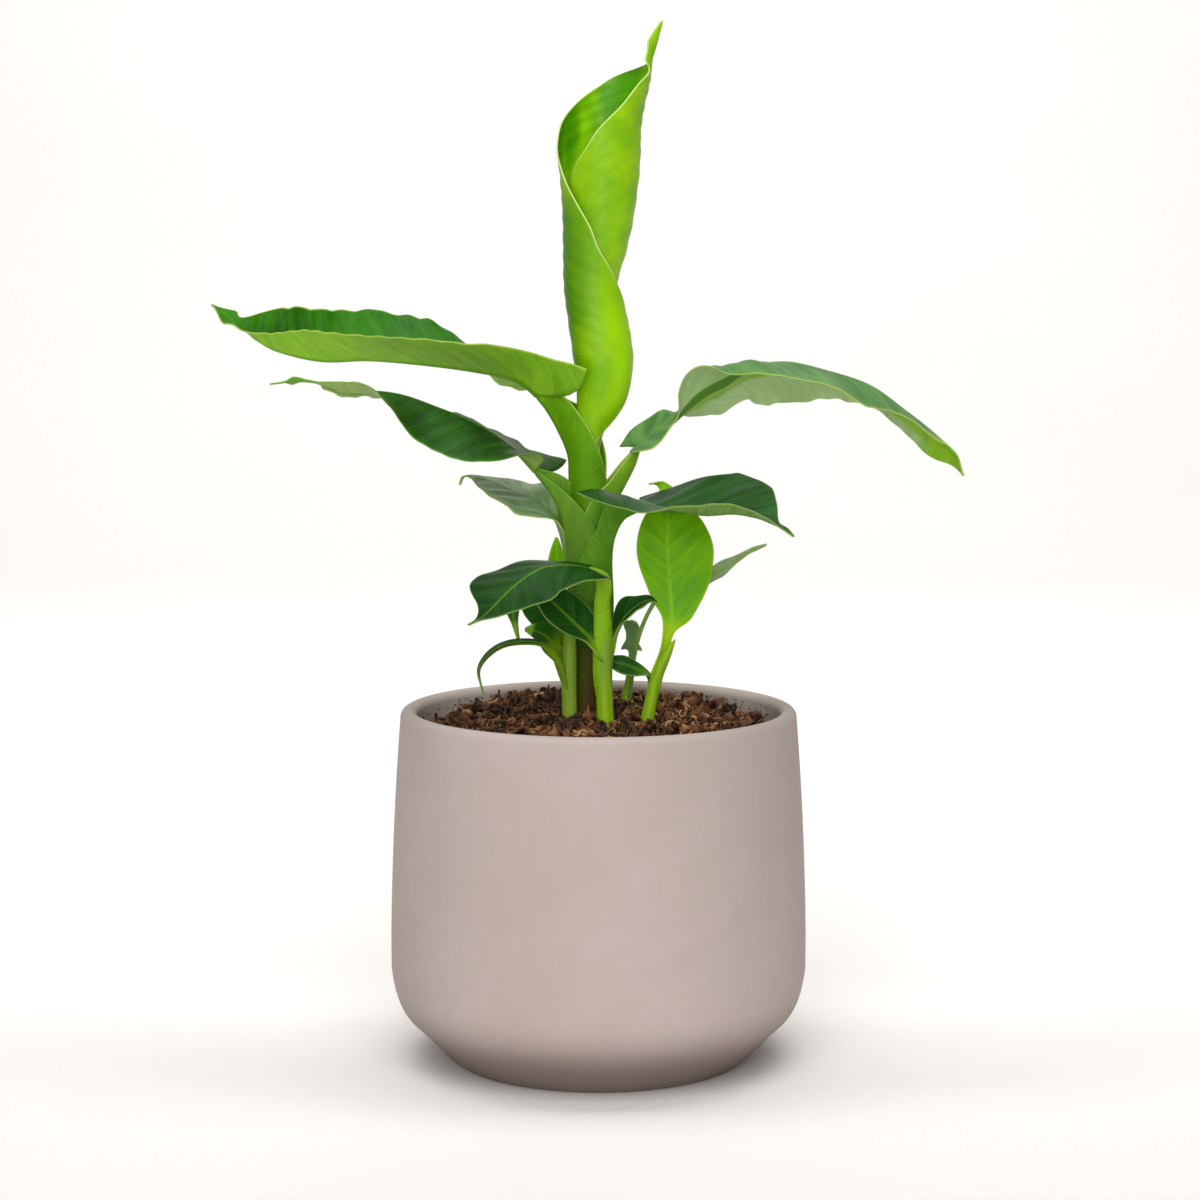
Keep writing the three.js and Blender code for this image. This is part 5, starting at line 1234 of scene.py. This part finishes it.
def rolled_sections(rows):
    """Closed sections of the rolled blade, and its map. At each height the blade winds from its
    inner to its outer margin, at the radius plus one pitch for each full turn, and sine waves
    between the side veins are added. The map holds the place along the side veins, the outer
    face, and the distance from the nearer margin."""
    heights = np.array([row[0] for row in rows], dtype=float)
    at = np.linspace(heights[0], heights[-1], int((heights[-1] - heights[0]) / ROLL_STEP))
    z, centre, radius, inner, outer = smooth_rows(heights, rows, at).T
    j = np.linspace(0, 1, ROLL_CELLS)
    angle = inner[:, None] + (outer - inner)[:, None] * j
    pitch = ROLL_PITCH * np.minimum(radius / ROLL_FULL_PITCH_RADIUS, 1)
    reach = radius[:, None] + pitch[:, None] * (angle / 360 - 0.25)
    from_inner = np.radians(angle - inner[:, None]) * radius[:, None]
    from_outer = np.radians(outer[:, None] - angle) * radius[:, None]
    margin = np.minimum(from_inner, from_outer)
    lead, lead_reach = ROLL_VEIN_LEAD
    vein = z[:, None] - lead * np.minimum(margin, lead_reach)
    quilt, spacing, calm_margin = ROLL_QUILT
    reach = reach + (quilt * np.sin(2 * math.pi * vein / spacing)
                     * np.clip(margin / calm_margin, 0, 1))
    turn = np.radians(angle)

    def shell(offset):
        """The roll's points, moved off its middle surface by the offset."""
        r = reach + offset
        return np.stack([centre[:, None] + r * np.cos(turn), ROLL_AXIS_Y + r * np.sin(turn),
                         z[:, None] + 0 * r], 2)

    outside, inside = shell(ROLL_THICKNESS / 2), shell(-ROLL_THICKNESS / 2)
    middle = shell(0)
    past = unit(middle[:, -1] - middle[:, -2]) * ROLL_THICKNESS / 2
    before = unit(middle[:, 0] - middle[:, 1]) * ROLL_THICKNESS / 2
    points = np.concatenate([outside, (middle[:, -1] + past)[:, None], inside[:, ::-1],
                             (middle[:, 0] + before)[:, None]], 1)
    return points, np.stack([looped(vein), upper_face(*angle.shape), looped(margin)], 2)


roll, roll_tree, roll_shader = new_material("skin_rolled", Roughness=0.42,
                                            Specular_IOR_Level=0.2, Subsurface_Weight=0.15,
                                            Subsurface_Scale=0.002)
roll_vein, roll_face, roll_inward = map_channels(roll_tree, "veins")
roll_place = add_node(roll_tree, "SeparateXYZ", {}, add_node(
    roll_tree, "TexCoord", {}).outputs["Object"]).outputs
soft = sum_of(roll_tree, sum_of(roll_tree, grain(roll_tree, 45, 3), -0.5), ROLL_WANDER,
              "MULTIPLY")
roll_x = sum_of(roll_tree, roll_place[0], soft)
roll_z = sum_of(roll_tree, roll_place[2], soft)
roll_tone = blend_colours(roll_tree, between(roll_tree, grain(roll_tree, 70, 4), 0.35, 0.68),
                          *map(linear, ROLL_GREENS))
# Painted shade: the left of the roll's outside is darkened midway up.
shade = sum_of(roll_tree, between(roll_tree, roll_x, *ROLL_SHADE_ACROSS, 1.0, 0.0),
               between(roll_tree, roll_z, *ROLL_SHADE_TOP), "MULTIPLY")
low_fade = between(roll_tree, roll_z, *ROLL_SHADE_FOOT)
shade = sum_of(roll_tree, shade, low_fade, "MULTIPLY")
roll_tone = blend_colours(roll_tree, sum_of(roll_tree, shade, 0.85, "MULTIPLY"), roll_tone,
                          linear(ROLL_PAINTED_SHADE))
# Painted glow: the right of the roll's outside is brightened lower down.
painted_glow = sum_of(roll_tree, between(roll_tree, roll_x, *ROLL_GLOW_ACROSS),
              between(roll_tree, roll_z, *ROLL_GLOW_TOP), "MULTIPLY")
roll_tone = blend_colours(roll_tree, sum_of(roll_tree, painted_glow, 0.9, "MULTIPLY"), roll_tone,
                          linear(ROLL_PAINTED_GLOW))
inside_tone = between(roll_tree, grain(roll_tree, 60, 2, (1, 1, 0.3)), 0.38, 0.66)
inside_tone = blend_colours(roll_tree, inside_tone, *map(linear, ROLL_INSIDE))
roll_tone = blend_colours(roll_tree, roll_face, inside_tone, roll_tone)
roll_fine = ridges(roll_tree, roll_vein, ROLL_VEIN_PACE, 0.2)
roll_fine = sum_of(roll_tree, roll_fine, between(roll_tree, roll_face, 0.0, 1.0, 0.25, 1.0),
                   "MULTIPLY")
roll_tone = blend_colours(roll_tree, sum_of(roll_tree, roll_fine, 0.04, "MULTIPLY"), roll_tone,
                          linear(ROLL_VEIN))
roll_edge = between(roll_tree, roll_inward, 0.1, 0.5, 0.8, 0.0)
roll_tone = blend_colours(roll_tree, roll_edge, roll_tone, linear(ROLL_MARGIN))
roll_tree.links.new(roll_tone, roll_shader.inputs["Base Color"])
relief(roll_tree, roll_shader, roll_fine, 0.00012, 0.4)
roll_points, roll_map = rolled_sections(ROLL_ROWS)
rolled = piece_from("blade_centre", roll_points * MM, sheet_faces(*roll_points.shape[:2]), roll,
                    {"veins": roll_map})
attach(rolled, "root")
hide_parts("leaf_centre")
